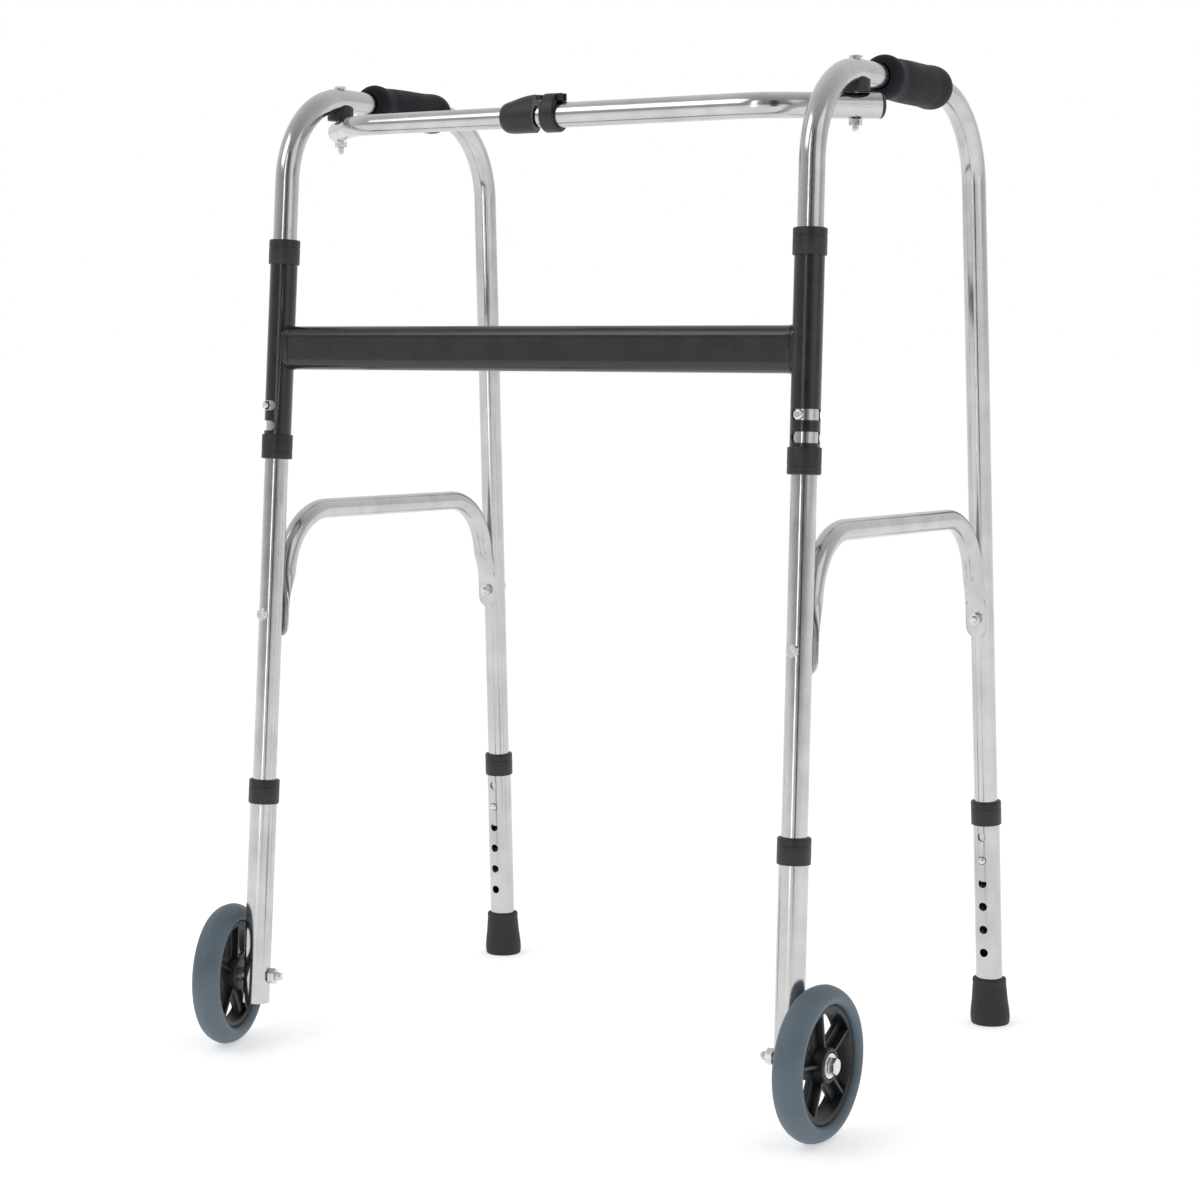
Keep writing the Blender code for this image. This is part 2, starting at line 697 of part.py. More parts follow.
def make_axle(side):
    """Axle bolt, washer, bush and nut. All turn with the leg and not with the wheel."""
    name = side_name(side)
    centre = front_leg(side, WHEEL_R)
    out = axle_out(side)
    bush_start = EXTENSION_R + GAP
    bush_end = WHEEL_OUTBOARD + 0.0098
    washer_end = bush_end + GAP + 0.0016
    bush = [(0.0065, bush_end), (0.0065, bush_start), (AXLE_R + GAP, bush_start),
            (AXLE_R + GAP, bush_end)]
    washer = [(0.0108, washer_end), (0.0108, bush_end + GAP), (AXLE_R + GAP, bush_end + GAP),
              (AXLE_R + GAP, washer_end)]
    matrix = wheel_matrix(side)
    matrix.translation = centre
    pieces = [finish(turned(bush, matrix, 12, ring=True), "zinc", name + "_wheel_bush")]
    pieces.append(finish(turned(washer, matrix, 12, ring=True), "zinc", name + "_axle_washer"))
    face = centre + out * (washer_end + GAP)
    length = washer_end + GAP + EXTENSION_R + 0.0125
    pieces.append(bolt(name + "_axle_bolt", face, -out, length, 0.013, 0.0053, AXLE_R, 12))
    nut_start = centre - out * (EXTENSION_R + GAP)
    pieces.append(nut(name + "_axle_nut", nut_start, -out, 0.0065, 0.013, AXLE_R + GAP, 12))
    return pieces


# ---------------------------------------------------------------- top bar and clip

def bar_tail(side):
    """Unit vector along the bar's end, from its bend out past its bolt."""
    corner = Vector((side * BAR_CORNER_X, BAR_Y, BAR_Z))
    return (bar_bolt(side) - corner).normalized()


def make_bar(side, radius, end_x):
    """One half of the top bar: a straight run and an end bent back to its bolt."""
    corner = Vector((side * BAR_CORNER_X, BAR_Y, BAR_Z))
    outer_end = bar_bolt(side) + bar_tail(side) * BAR_TAIL[side]
    inner_end = Vector((end_x, BAR_Y, BAR_Z))
    path = rounded([(outer_end, 0.0), (corner, BAR_BEND_R), (inner_end, 0.0)])
    shape = tube(path, radius)
    reach = Vector((0, 0, 0.030))
    shape = cut(shape, cylinder(bar_bolt(side) - reach, bar_bolt(side) + reach, M6_HOLE_R,
                                BOLT_SIDES))
    if side > 0:
        shape = cut(shape, relief_cutter(1))
    return finish(shape, "tube", side_name(side) + "_bar_half")


def make_bar_plug(side, radius):
    """The plastic plug in the bar's outer end."""
    start = bar_bolt(side) + bar_tail(side) * (BAR_TAIL[side] + GAP)
    inside = radius - TUBE_WALL - GAP
    profile = [(0.0, 0.0042), (radius - 0.0025, 0.0042), (radius, 0.0026), (radius, 0.0),
               (inside * 0.96, 0.0), (inside * 0.96, -0.009), (0.0, -0.009)]
    shape = turned(profile, aligned(start, bar_tail(side)), TUBE_SIDES)
    return finish(shape, "black_plastic", side_name(side) + "_bar_plug")


def make_spacer(side, radius):
    """The plastic saddle between the handle, which it hugs, and the bar under it."""
    centre = bar_bolt(side)
    foot = Vector((centre.x, centre.y, BAR_Z + radius + GAP))
    top = Vector((centre.x, centre.y, SPACER_TOP))
    above = top + Vector((0, 0, 0.010))
    handle = rod(side_path(side), LEG_R + GAP, TUBE_SIDES)
    shape = cut(cylinder(foot, top, SPACER_R), handle,
                cylinder(centre, above, M6_HOLE_R, BOLT_SIDES))
    return finish(shape, "black_plastic", side_name(side) + "_bar_spacer")


def make_pivot_bolt(side, radius):
    down = Vector((0, 0, -1))
    centre = bar_bolt(side)
    head_z = HANDLE_Z - HANDLE_SLOPE * BAR_BOLT_Y + LEG_R + 0.0006
    head_face = Vector((centre.x, centre.y, head_z))
    bolt_length = head_z - (BAR_Z - 0.0230)
    nut_start = centre + down * (radius + GAP)
    name = side_name(side)
    return [bolt(name + "_pivot_bolt", head_face, down, bolt_length, 0.010, 0.0028),
            nut(name + "_pivot_nut", nut_start, down, 0.0055)]


def relief_cutter(sign):
    """Clears the V behind the clip so that either half can swing out to the rear.

    The tip of the V stands just ahead of the clip; sign -1 clears the left half's
    side of it and sign 1 the right half's.
    """
    tip_x = CLIP_COLLAR_X[1] + (GAP if sign > 0 else 0.0)
    tip = Vector((tip_x, BAR_Y - CLIP_LOW_R, BAR_Z))
    turn = Matrix.Translation(tip) @ Matrix.Rotation(-sign * atan2(CLIP_RELIEF, 1.0), 4, "Z")
    size = 0.040
    low_x, high_x = (-size, 0.0) if sign > 0 else (0.0, size)
    return block((low_x, -size, -size), (high_x, 2 * size, size), turn)


def clip_section(matrix, stations, bore, angle_steps=24):
    """A body along X with a round lower half and a raised top, bored for a tube."""
    bm = bmesh.new()
    bmesh.ops.create_cone(bm, cap_ends=True, segments=angle_steps, radius1=1.0, radius2=1.0,
                          depth=1.0)
    walls = [e for e in bm.edges if abs(e.verts[0].co.z - e.verts[1].co.z) > 0.5]
    bmesh.ops.subdivide_edges(bm, edges=walls, cuts=len(stations) - 2)
    last = len(stations) - 1
    for vert in bm.verts:
        x, low, high = stations[round((vert.co.z + 0.5) * last)]
        up = high if vert.co.y > 0 else low
        vert.co = (x, vert.co.x * low, vert.co.y * up)
    bmesh.ops.recalc_face_normals(bm, faces=bm.faces)
    shape = from_bmesh(bm, matrix)
    low_x = stations[0][0] - 0.01
    high_x = stations[-1][0] + 0.01
    core = cylinder(matrix @ Vector((low_x, 0, 0)), matrix @ Vector((high_x, 0, 0)), bore, 20)
    return cut(shape, core)


def make_clip():
    """Tapered collar on the left half, band and release lever on the right half."""
    middle = Matrix.Translation((0, BAR_Y, BAR_Z))
    x0, x1 = CLIP_COLLAR_X
    collar = clip_section(middle, [
        (x0, 0.0112, 0.0112), (x0 + 0.002, 0.0125, 0.0120), (x0 + 0.007, 0.0142, 0.0136),
        (x0 + 0.016, CLIP_LOW_R, 0.0166), (x1 - 0.009, CLIP_LOW_R, 0.0190),
        (x1, CLIP_LOW_R, CLIP_TOP)], THIN_BAR_R + GAP)
    collar = cut(collar, relief_cutter(-1))
    pieces = [finish(collar, "black_plastic", "clip_collar")]
    b0, b1 = CLIP_BAND_X
    band = clip_section(middle, [
        (b0, CLIP_LOW_R, CLIP_TOP), (b0 + 0.001, 0.0150, 0.0200), (b1 - 0.001, 0.0150, 0.0204),
        (b1, CLIP_LOW_R, 0.0200)], THICK_BAR_R + GAP)
    half_width = 0.0050
    slot = block((b0 - 0.01, -half_width - GAP, 0.009), (b1 + 0.01, half_width + GAP, 0.030),
                 middle)
    pin_x, pin_z, pin_r, pin_half = 0.0, LEVER_PIN_Z, 0.0012, 0.0070
    pin_ends = (middle @ Vector((pin_x, -pin_half, pin_z)),
                middle @ Vector((pin_x, pin_half, pin_z)))
    pin_bore = (middle @ Vector((pin_x, -pin_half - GAP, pin_z)),
                middle @ Vector((pin_x, pin_half + GAP, pin_z)))
    band = cut(band, slot, cylinder(*pin_bore, pin_r + GAP, BOLT_SIDES))
    pieces.append(finish(band, "black_plastic", "clip_band"))
    tongue = block((CLIP_COLLAR_X[1] + GAP, -half_width, 0.0138), (0.004, half_width, 0.0180),
                   middle, 0.0006)
    hood = block((CLIP_COLLAR_X[1] + GAP, -0.0095, 0.0138), (-0.0040, 0.0095, 0.0180), middle)
    tab = block((-0.0022, -half_width, 0.0124), (0.0150, half_width, 0.0192), middle, 0.0008)
    lever = cut(join(tab, tongue, hood), relief_cutter(1))
    lever = join(lever, cylinder(*pin_ends, pin_r, BOLT_SIDES))
    pieces.append(finish(lever, "black_plastic", "clip_lever"))
    return pieces


# ---------------------------------------------------------------- assembly

def mount_on(empty_name, origin, pieces, parent=None):
    """Parent a moving body's pieces to an empty that stands on its joint's axis."""
    empty = bpy.data.objects.new(empty_name, None)
    PARTS.objects.link(empty)
    empty.empty_display_size = 0.02
    empty.location = origin
    if parent:
        empty.parent = parent
        empty.location = Vector(origin) - parent.matrix_world.translation
    bpy.context.view_layer.update()
    for piece in pieces:
        piece.parent = empty
        piece.matrix_parent_inverse = empty.matrix_world.inverted()
    return empty


def build_side(side):
    name = side_name(side)
    bar_r = THICK_BAR_R if side > 0 else THIN_BAR_R
    bar_end = THICK_BAR_END_X if side > 0 else THIN_BAR_END_X
    out_of_leg = on_leg(front_leg, side, FRONT_BRACE_BOLT_Z).to_3x3() @ Vector((0, 1, 0))
    rear_out = on_leg(rear_leg, side, REAR_BRACE_BOLT_Z).to_3x3() @ Vector((0, 1, 0))
    front_at = front_leg(side, FRONT_BRACE_BOLT_Z)
    rear_at = rear_leg(side, REAR_BRACE_BOLT_Z)
    clear = LEG_R + GAP
    through = clear + BRACE_FLAT + GAP
    bolt_length = clear + through + 0.0085
    fold = [make_side_tube(side), make_grip(side), make_brace(side), make_stud(side),
            make_spacer(side, bar_r)]
    fold.append(bolt(name + "_brace_front_bolt", front_at - out_of_leg * clear, out_of_leg,
                     bolt_length))
    fold.append(nut(name + "_brace_front_nut", front_at + out_of_leg * through, out_of_leg))
    fold.append(bolt(name + "_brace_rear_bolt", rear_at + rear_out * clear, -rear_out,
                     bolt_length))
    fold.append(nut(name + "_brace_rear_nut", rear_at - rear_out * through, -rear_out))
    fold += make_pivot_bolt(side, bar_r)
    root = mount_on(name + "_fold_axis", front_leg(side, CROSSBAR_Z), fold)

    for place, leg, top_hole, front in (("front", front_leg, FRONT_TOP_HOLE_Z, False),
                                        ("rear", rear_leg, REAR_TOP_HOLE_Z, True)):
        z = button_height(top_hole)
        button = make_snap_button(f"{name}_{place}_snap_button", leg, side, z, front)
        mount_on(f"{name}_{place}_button_axis", leg(side, z), [button], root)

    front_pieces = [
        make_extension(name + "_front_extension", front_leg, side,
                       (FRONT_EXTENSION_END_Z, FRONT_COLLAR_Z + COLLAR_LENGTH
                        - COLLAR_LIP - GAP), FRONT_TOP_HOLE_Z, pi, axle_hole=True),
        make_collar(name + "_front_extension_collar", front_leg, side, FRONT_COLLAR_Z,
                    EXTENSION_R, True)]
    front_pieces += make_axle(side)
    front_axis = mount_on(name + "_front_leg_axis", front_leg(side, WHEEL_R), front_pieces, root)
    centre = front_leg(side, WHEEL_R) + axle_out(side) * WHEEL_OUTBOARD
    mount_on(name + "_wheel_axis", centre, [make_tyre(side), make_hub(side)], front_axis)

    rear_pieces = [
        make_extension(name + "_rear_extension", rear_leg, side,
                       (REAR_EXTENSION_END_Z, REAR_COLLAR_Z + COLLAR_LENGTH
                        - COLLAR_LIP - GAP), REAR_TOP_HOLE_Z, 0.0),
        make_collar(name + "_rear_extension_collar", rear_leg, side, REAR_COLLAR_Z,
                    EXTENSION_R, True),
        make_rubber_tip(side)]
    mount_on(name + "_rear_leg_axis", rear_leg(side, 0.0), rear_pieces, root)

    bar_pieces = [make_bar(side, bar_r, bar_end), make_bar_plug(side, bar_r)]
    return root, bar_pieces


def build():
    make_cross_frame()
    for side in (-1, 1):
        name = side_name(side)
        make_collar(name + "_upper_collar", front_leg, side, UPPER_COLLAR_Z, SLEEVE_R, True)
        make_collar(name + "_lower_collar", front_leg, side, LOWER_COLLAR_Z, SLEEVE_R, False)
    left_root, left_bar = build_side(-1)
    right_root, right_bar = build_side(1)
    collar, band, lever = make_clip()
    mount_on("left_bar_axis", bar_bolt(-1), left_bar + [collar], left_root)
    right_axis = mount_on("right_bar_axis", bar_bolt(1), right_bar + [band], right_root)
    mount_on("clip_lever_axis", Vector((0, BAR_Y, BAR_Z + LEVER_PIN_Z)), [lever], right_axis)


clear_scene()
PARTS = bpy.data.collections.new("walking_frame")
bpy.context.scene.collection.children.link(PARTS)
build()
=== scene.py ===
"""Looks of the folding two-wheel walking frame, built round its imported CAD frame.

Metres, +Z up, -Y is the front. Every CAD node is stood for by a finer mesh of the
same piece, which rides on the same body. Both sides share one set of functions.
"""
import json
from math import atan2, cos, pi, radians, sin, sqrt, tan

import bmesh
import bpy
from mathutils import Matrix, Vector


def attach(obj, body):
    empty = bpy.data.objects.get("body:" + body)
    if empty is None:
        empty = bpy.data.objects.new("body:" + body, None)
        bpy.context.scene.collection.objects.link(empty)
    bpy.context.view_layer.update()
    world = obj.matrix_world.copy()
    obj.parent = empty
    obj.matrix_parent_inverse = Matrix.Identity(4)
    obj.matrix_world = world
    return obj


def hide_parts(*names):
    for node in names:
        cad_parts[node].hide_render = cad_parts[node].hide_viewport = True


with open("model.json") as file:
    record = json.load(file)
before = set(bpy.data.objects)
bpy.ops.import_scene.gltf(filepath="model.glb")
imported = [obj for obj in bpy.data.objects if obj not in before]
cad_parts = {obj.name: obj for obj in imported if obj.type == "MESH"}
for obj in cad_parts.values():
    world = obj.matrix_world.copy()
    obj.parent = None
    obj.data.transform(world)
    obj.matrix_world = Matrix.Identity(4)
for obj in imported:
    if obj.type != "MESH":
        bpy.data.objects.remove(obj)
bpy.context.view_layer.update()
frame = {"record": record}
RECORD = frame["record"]

GAP = 0.0003
FINE = 64               # sides of a turned piece
TUBE_SIDES = 48
PIN_SIDES = 24
BEND_STEPS = 24
TUBE_WALL = 0.0012
LEG_R = 0.0111
SLIDE_BORE_R = 0.0115
EXTENSION_R = 0.0127
SLEEVE_R = 0.0128

LEG_X = 0.2842
LEG_X_LEAN = 0.0120
FRONT_Y = -0.2276
FRONT_LEAN = 0.0736
REAR_Y = 0.2050
REAR_LEAN = 0.0471

HANDLE_Z = 0.8930
HANDLE_SLOPE = 0.025
FRONT_BEND_R = 0.085
REAR_BEND_R = 0.086
FRONT_TUBE_END_Z = 0.1750
REAR_TUBE_END_Z = 0.1430
GRIP_Y = (-0.040, 0.083)

SLEEVE_Z = (0.5643, 0.7524)
COLLAR_R = 0.0145
COLLAR_LENGTH = 0.0230
COLLAR_LIP = 0.0080
UPPER_COLLAR_Z = 0.7377
LOWER_COLLAR_Z = 0.5560
CROSSBAR_Z = 0.6600
CROSSBAR_HEIGHT = 0.0403
CROSSBAR_DEPTH = 0.0200
SLOT_Z = (0.6058, 0.5869)
SLOT_HEIGHT = 0.0093
SLOT_ANGLES = {-1: (radians(-115), radians(2)), 1: (radians(-18), radians(115))}
STUD_TURN = {-1: radians(-38), 1: 0.0}   # each stud's place in its slot
SLOT_CUT = (0.009, 0.020)    # radii between which the slots are cut
WELD_BEAD = 0.0005
WELD_DEPTH = 0.0020

BRACE_R = 0.009525
BRACE_Z = 0.5014
BRACE_SLOPE = 0.028
BRACE_BEND_R = 0.062
BRACE_FLAT = 0.0030
BRACE_PLATE = 0.030
BRACE_PRESS_LENGTH = 0.034
FRONT_BRACE_BOLT_Z = 0.4097
REAR_BRACE_BOLT_Z = 0.4003
FRONT_BRACE_TIP_Z = 0.3880
REAR_BRACE_TIP_Z = 0.3815

HOLE_PITCH = 0.0229
HOLE_COUNT = 6
BUTTON_HOLE = 1
HOLE_R = 0.0042
BUTTON_PRESS = 0.0047       # the button's travel and a little clearance
SPRING_THICKNESS = 0.0008
SPRING_HALF_WIDTH = 0.0035
BUTTON_R = 0.0037
FRONT_COLLAR_Z = 0.2308
REAR_COLLAR_Z = 0.1980
FRONT_TOP_HOLE_Z = 0.2200
REAR_TOP_HOLE_Z = 0.1870
FRONT_EXTENSION_END_Z = 0.0410
REAR_EXTENSION_END_Z = 0.0095
TIP_HEIGHT = 0.0453
TIP_SOLE = 0.0085

WHEEL_R = 0.0665
WHEEL_OUTBOARD = 0.0280
WHEEL_TOE = {-1: radians(16), 1: 0.0}   # turn of each axle about the vertical
TYRE_WIDTH = 0.0280
RIM_R = 0.0508
RIM_WIDTH = 0.0176
SPOKES = 5
WEB_SPAN = (0.0105, 0.0468)      # radii where each spoke's web starts and ends
WEB_HALF_WIDTH = (0.0108, 0.0104)
WEB_HALF_DEPTH = 0.0024
BUSH_R = 0.0065
BUSH_TO_WHEEL = 0.0098
SPOKE_TURN = {-1: radians(25), 1: radians(27)}
AXLE_R = 0.0040

BAR_Z = 0.8660
BAR_Y = -0.1400
BAR_BOLT_Y = -0.0840
BAR_CORNER_X = 0.2150
BAR_BEND_R = 0.060
BAR_TAIL = {-1: 0.0140, 1: 0.0210}     # beyond the bolt, by side
SPACER_R = 0.0125
SPACER_TOP = 0.8885
THIN_BAR_R = 0.009525
THICK_BAR_R = 0.0111
THIN_BAR_END_X = -0.0180
THICK_BAR_END_X = -0.0100
CLIP_COLLAR_X = (-0.0470, -0.0107)
CLIP_BAND_X = (-0.0032, 0.0105)
CLIP_LOW_R = 0.0146
CLIP_TOP = 0.0194
CLIP_RELIEF = 0.25
LEVER_PIN_Z = 0.0155
LEVER_PIN_R = 0.0012
LEVER_PIN_HALF = 0.0070
LEVER_HALF_WIDTH = 0.0050
TONGUE_Z = (0.0138, 0.0180)
TAB_Z = (0.0124, 0.0192)
GROOVES = 4
GROOVE_PITCH = 0.0022
M6_R = 0.0030
THREAD_PITCH = 0.0010


# ---------------------------------------------------------------- materials

def node_material(name, colour, roughness, metallic=0.0):
    """A Principled material and the helpers that add to it."""
    material = bpy.data.materials.new(name)
    material.use_nodes = True
    tree = material.node_tree
    shader = tree.nodes["Principled BSDF"]
    shader.inputs["Base Color"].default_value = (*colour, 1.0)
    shader.inputs["Roughness"].default_value = roughness
    shader.inputs["Metallic"].default_value = metallic
    return material, tree, shader


def object_coordinates(tree, scale=(1.0, 1.0, 1.0)):
    coordinates = tree.nodes.new("ShaderNodeTexCoord")
    mapping = tree.nodes.new("ShaderNodeMapping")
    mapping.inputs["Scale"].default_value = scale
    tree.links.new(coordinates.outputs["Object"], mapping.inputs["Vector"])
    return mapping.outputs["Vector"]


def noise(tree, scale, detail=3.0, stretch=(1.0, 1.0, 1.0)):
    texture = tree.nodes.new("ShaderNodeTexNoise")
    texture.inputs["Scale"].default_value = scale
    texture.inputs["Detail"].default_value = detail
    tree.links.new(object_coordinates(tree, stretch), texture.inputs["Vector"])
    return texture.outputs["Fac"]


def ranged(tree, value, low, high):
    """Spread a noise's middle band over low to high."""
    spread = tree.nodes.new("ShaderNodeMapRange")
    spread.inputs["From Min"].default_value = 0.3
    spread.inputs["From Max"].default_value = 0.7
    spread.inputs["To Min"].default_value = low
    spread.inputs["To Max"].default_value = high
    tree.links.new(value, spread.inputs["Value"])
    return spread.outputs["Result"]


def varied_colour(tree, shader, value, dark, light):
    ramp = tree.nodes.new("ShaderNodeValToRGB")
    ramp.color_ramp.elements[0].position = 0.35
    ramp.color_ramp.elements[1].position = 0.65
    ramp.color_ramp.elements[0].color = (*dark, 1.0)
    ramp.color_ramp.elements[1].color = (*light, 1.0)
    tree.links.new(value, ramp.inputs["Fac"])
    tree.links.new(ramp.outputs["Color"], shader.inputs["Base Color"])


def bump(tree, shader, height, strength, distance):
    relief = tree.nodes.new("ShaderNodeBump")
    relief.inputs["Strength"].default_value = strength
    relief.inputs["Distance"].default_value = distance
    tree.links.new(height, relief.inputs["Height"])
    tree.links.new(relief.outputs["Normal"], shader.inputs["Normal"])


def polished_tube():
    """Buffed aluminium: bright, with fine draw lines along the tube."""
    material, tree, shader = node_material("polished_tube_look", (0.80, 0.80, 0.79), 0.2, 1.0)
    lines = noise(tree, 900.0, 2.0, (1.0, 1.0, 0.03))
    cloud = noise(tree, 35.0, 3.0)
    varied_colour(tree, shader, cloud, (0.51, 0.51, 0.50), (0.59, 0.59, 0.58))
    tree.links.new(ranged(tree, lines, 0.13, 0.20), shader.inputs["Roughness"])
    bump(tree, shader, lines, 0.06, 0.0001)
    return material


def zinc_hardware():
    """Bright zinc plate with a slightly cloudy film."""
    material, tree, shader = node_material("zinc_look", (0.75, 0.76, 0.75), 0.3, 1.0)
    cloud = noise(tree, 420.0, 4.0)
    varied_colour(tree, shader, cloud, (0.62, 0.63, 0.62), (0.80, 0.81, 0.80))
    tree.links.new(ranged(tree, cloud, 0.24, 0.42), shader.inputs["Roughness"])
    bump(tree, shader, noise(tree, 2600.0), 0.10, 0.0001)
    return material


def black_paint():
    """Powder coat: glossy black with a faint orange peel."""
    material, tree, shader = node_material("black_paint_look", (0.016, 0.018, 0.021), 0.25)
    shader.inputs["Coat Weight"].default_value = 0.22
    shader.inputs["Coat Roughness"].default_value = 0.12
    cloud = noise(tree, 60.0, 4.0)
    varied_colour(tree, shader, cloud, (0.006, 0.007, 0.009), (0.010, 0.012, 0.014))
    tree.links.new(ranged(tree, cloud, 0.20, 0.30), shader.inputs["Roughness"])
    bump(tree, shader, noise(tree, 700.0, 1.0), 0.10, 0.0002)
    return material


def black_plastic():
    """Moulded nylon with a fine spark-eroded grain."""
    material, tree, shader = node_material("black_plastic_look", (0.024, 0.026, 0.030), 0.45)
    cloud = noise(tree, 90.0, 4.0)
    varied_colour(tree, shader, cloud, (0.009, 0.010, 0.012), (0.015, 0.017, 0.020))
    tree.links.new(ranged(tree, cloud, 0.38, 0.52), shader.inputs["Roughness"])
    bump(tree, shader, noise(tree, 3200.0, 2.0), 0.28, 0.0001)
    return material


def tip_rubber():
    """Matt black rubber, a little dusty in the grain."""
    material, tree, shader = node_material("tip_rubber_look", (0.030, 0.032, 0.036), 0.6)
    cloud = noise(tree, 140.0, 5.0)
    varied_colour(tree, shader, cloud, (0.012, 0.013, 0.015), (0.020, 0.022, 0.025))
    tree.links.new(ranged(tree, cloud, 0.55, 0.72), shader.inputs["Roughness"])
    bump(tree, shader, noise(tree, 1800.0, 3.0), 0.30, 0.0001)
    return material


def blue_grey_tyre():
    """Solid blue-grey elastomer with a soft sheen and a faint bloom."""
    material, tree, shader = node_material("tyre_look", (0.10, 0.135, 0.165), 0.5)
    cloud = noise(tree, 30.0, 5.0)
    varied_colour(tree, shader, cloud, (0.092, 0.128, 0.160), (0.116, 0.156, 0.192))
    tree.links.new(ranged(tree, cloud, 0.45, 0.60), shader.inputs["Roughness"])
    bump(tree, shader, noise(tree, 1500.0, 3.0), 0.20, 0.0001)
    return material


def grip_rubber():
    """Foamed vinyl: near black, a fine pebble and a broad soft sheen."""
    material, tree, shader = node_material("grip_look", (0.010, 0.011, 0.014), 0.55)
    shader.inputs["Specular IOR Level"].default_value = 0.15
    cloud = noise(tree, 70.0, 4.0)
    varied_colour(tree, shader, cloud, (0.006, 0.007, 0.010), (0.011, 0.012, 0.016))
    tree.links.new(ranged(tree, cloud, 0.48, 0.64), shader.inputs["Roughness"])
    pebble = tree.nodes.new("ShaderNodeTexVoronoi")
    pebble.inputs["Scale"].default_value = 1400.0
    tree.links.new(object_coordinates(tree), pebble.inputs["Vector"])
    bump(tree, shader, pebble.outputs["Distance"], 0.22, 0.0002)
    return material


MATERIALS = {
    "polished_tube": polished_tube(),
    "zinc_hardware": zinc_hardware(),
    "black_paint": black_paint(),
    "black_plastic": black_plastic(),
    "tip_rubber": tip_rubber(),
    "blue_grey_tyre": blue_grey_tyre(),
    "grip_rubber": grip_rubber(),
}
NODE_SLOT = {part["node"]: part["material_slot"] for part in RECORD["subparts"]}
NODE_BODY = {node: body for body, nodes in RECORD["behaviour"]["bodies"].items()
             for node in nodes}


# ---------------------------------------------------------------- building tools

def piece(obj, node, sharp=40):
    """Let a finished mesh stand for a CAD node."""
    obj.name = node + "_look"
    obj.data.materials.clear()
    obj.data.materials.append(MATERIALS[NODE_SLOT[node]])
    obj.data.shade_smooth()
    obj.data.set_sharp_from_angle(angle=radians(sharp))
    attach(obj, NODE_BODY[node])
    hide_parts(node)
    return obj


def link(data):
    obj = bpy.data.objects.new("shape", data)
    bpy.context.scene.collection.objects.link(obj)
    return obj


def from_bmesh(bm, matrix=None):
    if matrix is not None:
        bmesh.ops.transform(bm, matrix=matrix, verts=bm.verts)
    mesh = bpy.data.meshes.new("shape")
    bm.to_mesh(mesh)
    bm.free()
    return link(mesh)


def baked(obj):
    """Replace an object by its evaluated, welded mesh."""
    bpy.context.view_layer.update()
    graph = bpy.context.evaluated_depsgraph_get()
    mesh = bpy.data.meshes.new_from_object(obj.evaluated_get(graph))
    mesh.transform(obj.matrix_world)
    bpy.data.objects.remove(obj, do_unlink=True)
    bm = bmesh.new()
    bm.from_mesh(mesh)
    bmesh.ops.remove_doubles(bm, verts=bm.verts, dist=0.000001)
    bmesh.ops.recalc_face_normals(bm, faces=bm.faces)
    bm.to_mesh(mesh)
    bm.free()
    return link(mesh)


def combine(target, operation, tools):
    for tool in tools:
        modifier = target.modifiers.new("cut", "BOOLEAN")
        modifier.operation = operation
        modifier.solver = "EXACT"
        modifier.object = tool
        target = baked(target)
        bpy.data.objects.remove(tool, do_unlink=True)
    return target


def cut(target, *tools):
    return combine(target, "DIFFERENCE", tools)


def join(target, *tools):
    return combine(target, "UNION", tools)


def common(target, *tools):
    return combine(target, "INTERSECT", tools)


def softened(obj, width, segments=2):
    """Round every crease of a mesh."""
    bevel = obj.modifiers.new("edges", "BEVEL")
    bevel.width = width
    bevel.segments = segments
    bevel.limit_method = "ANGLE"
    bevel.angle_limit = radians(40)
    return baked(obj)


def aligned(origin, direction, side_hint=Vector((1, 0, 0))):
    """A frame at origin with Z along direction and X near side_hint."""
    z = direction.normalized()
    if abs(z.dot(side_hint)) > 0.9:
        side_hint = Vector((0, 1, 0))
    y = z.cross(side_hint).normalized()
    matrix = Matrix((y.cross(z), y, z)).transposed().to_4x4()
    matrix.translation = origin
    return matrix


def cylinder(start, end, radius, sides=TUBE_SIDES):
    start = Vector(start)
    end = Vector(end)
    bm = bmesh.new()
    bmesh.ops.create_cone(bm, cap_ends=True, segments=sides, radius1=radius,
                          radius2=radius, depth=(end - start).length)
    return from_bmesh(bm, aligned((start + end) / 2, end - start))


def block(low, high, matrix=None, bevel=0.0):
    low = Vector(low)
    high = Vector(high)
    bm = bmesh.new()
    bmesh.ops.create_cube(bm, size=1.0)
    bmesh.ops.transform(bm, matrix=Matrix.Diagonal((*(high - low), 1.0)), verts=bm.verts)
    bmesh.ops.translate(bm, vec=(low + high) / 2, verts=bm.verts)
    if bevel:
        bmesh.ops.bevel(bm, geom=bm.edges, offset=bevel, segments=3, profile=0.5,
                        affect="EDGES")
    return from_bmesh(bm, matrix)


def turned(profile, matrix, sides=FINE, ring=False):
    """Turn (radius, height) points about Z, listed down the outer side."""
    bm = bmesh.new()
    points = [bm.verts.new((r, 0, h)) for r, h in profile]
    for a, b in zip(points, points[1:]):
        bm.edges.new((a, b))
    if ring:
        bm.edges.new((points[-1], points[0]))
    obj = from_bmesh(bm)
    screw = obj.modifiers.new("turn", "SCREW")
    screw.steps = sides
    screw.render_steps = sides
    screw.use_merge_vertices = True
    screw.merge_threshold = 0.000001
    obj.matrix_world = matrix
    return baked(obj)


def flowing(points, steps=6):
    """A smooth line through profile points (Catmull-Rom)."""
    padded = [points[0], *points, points[-1]]
    line = []
    for a, b, c, d in zip(padded, padded[1:], padded[2:], padded[3:]):
        for i in range(steps):
            t = i / steps
            line.append(tuple(
                q + 0.5 * t * (r - p + t * (2 * p - 5 * q + 4 * r - s + t * (3 * (q - r) + s - p)))
                for p, q, r, s in zip(a, b, c, d)))
    line.append(points[-1])
    return line


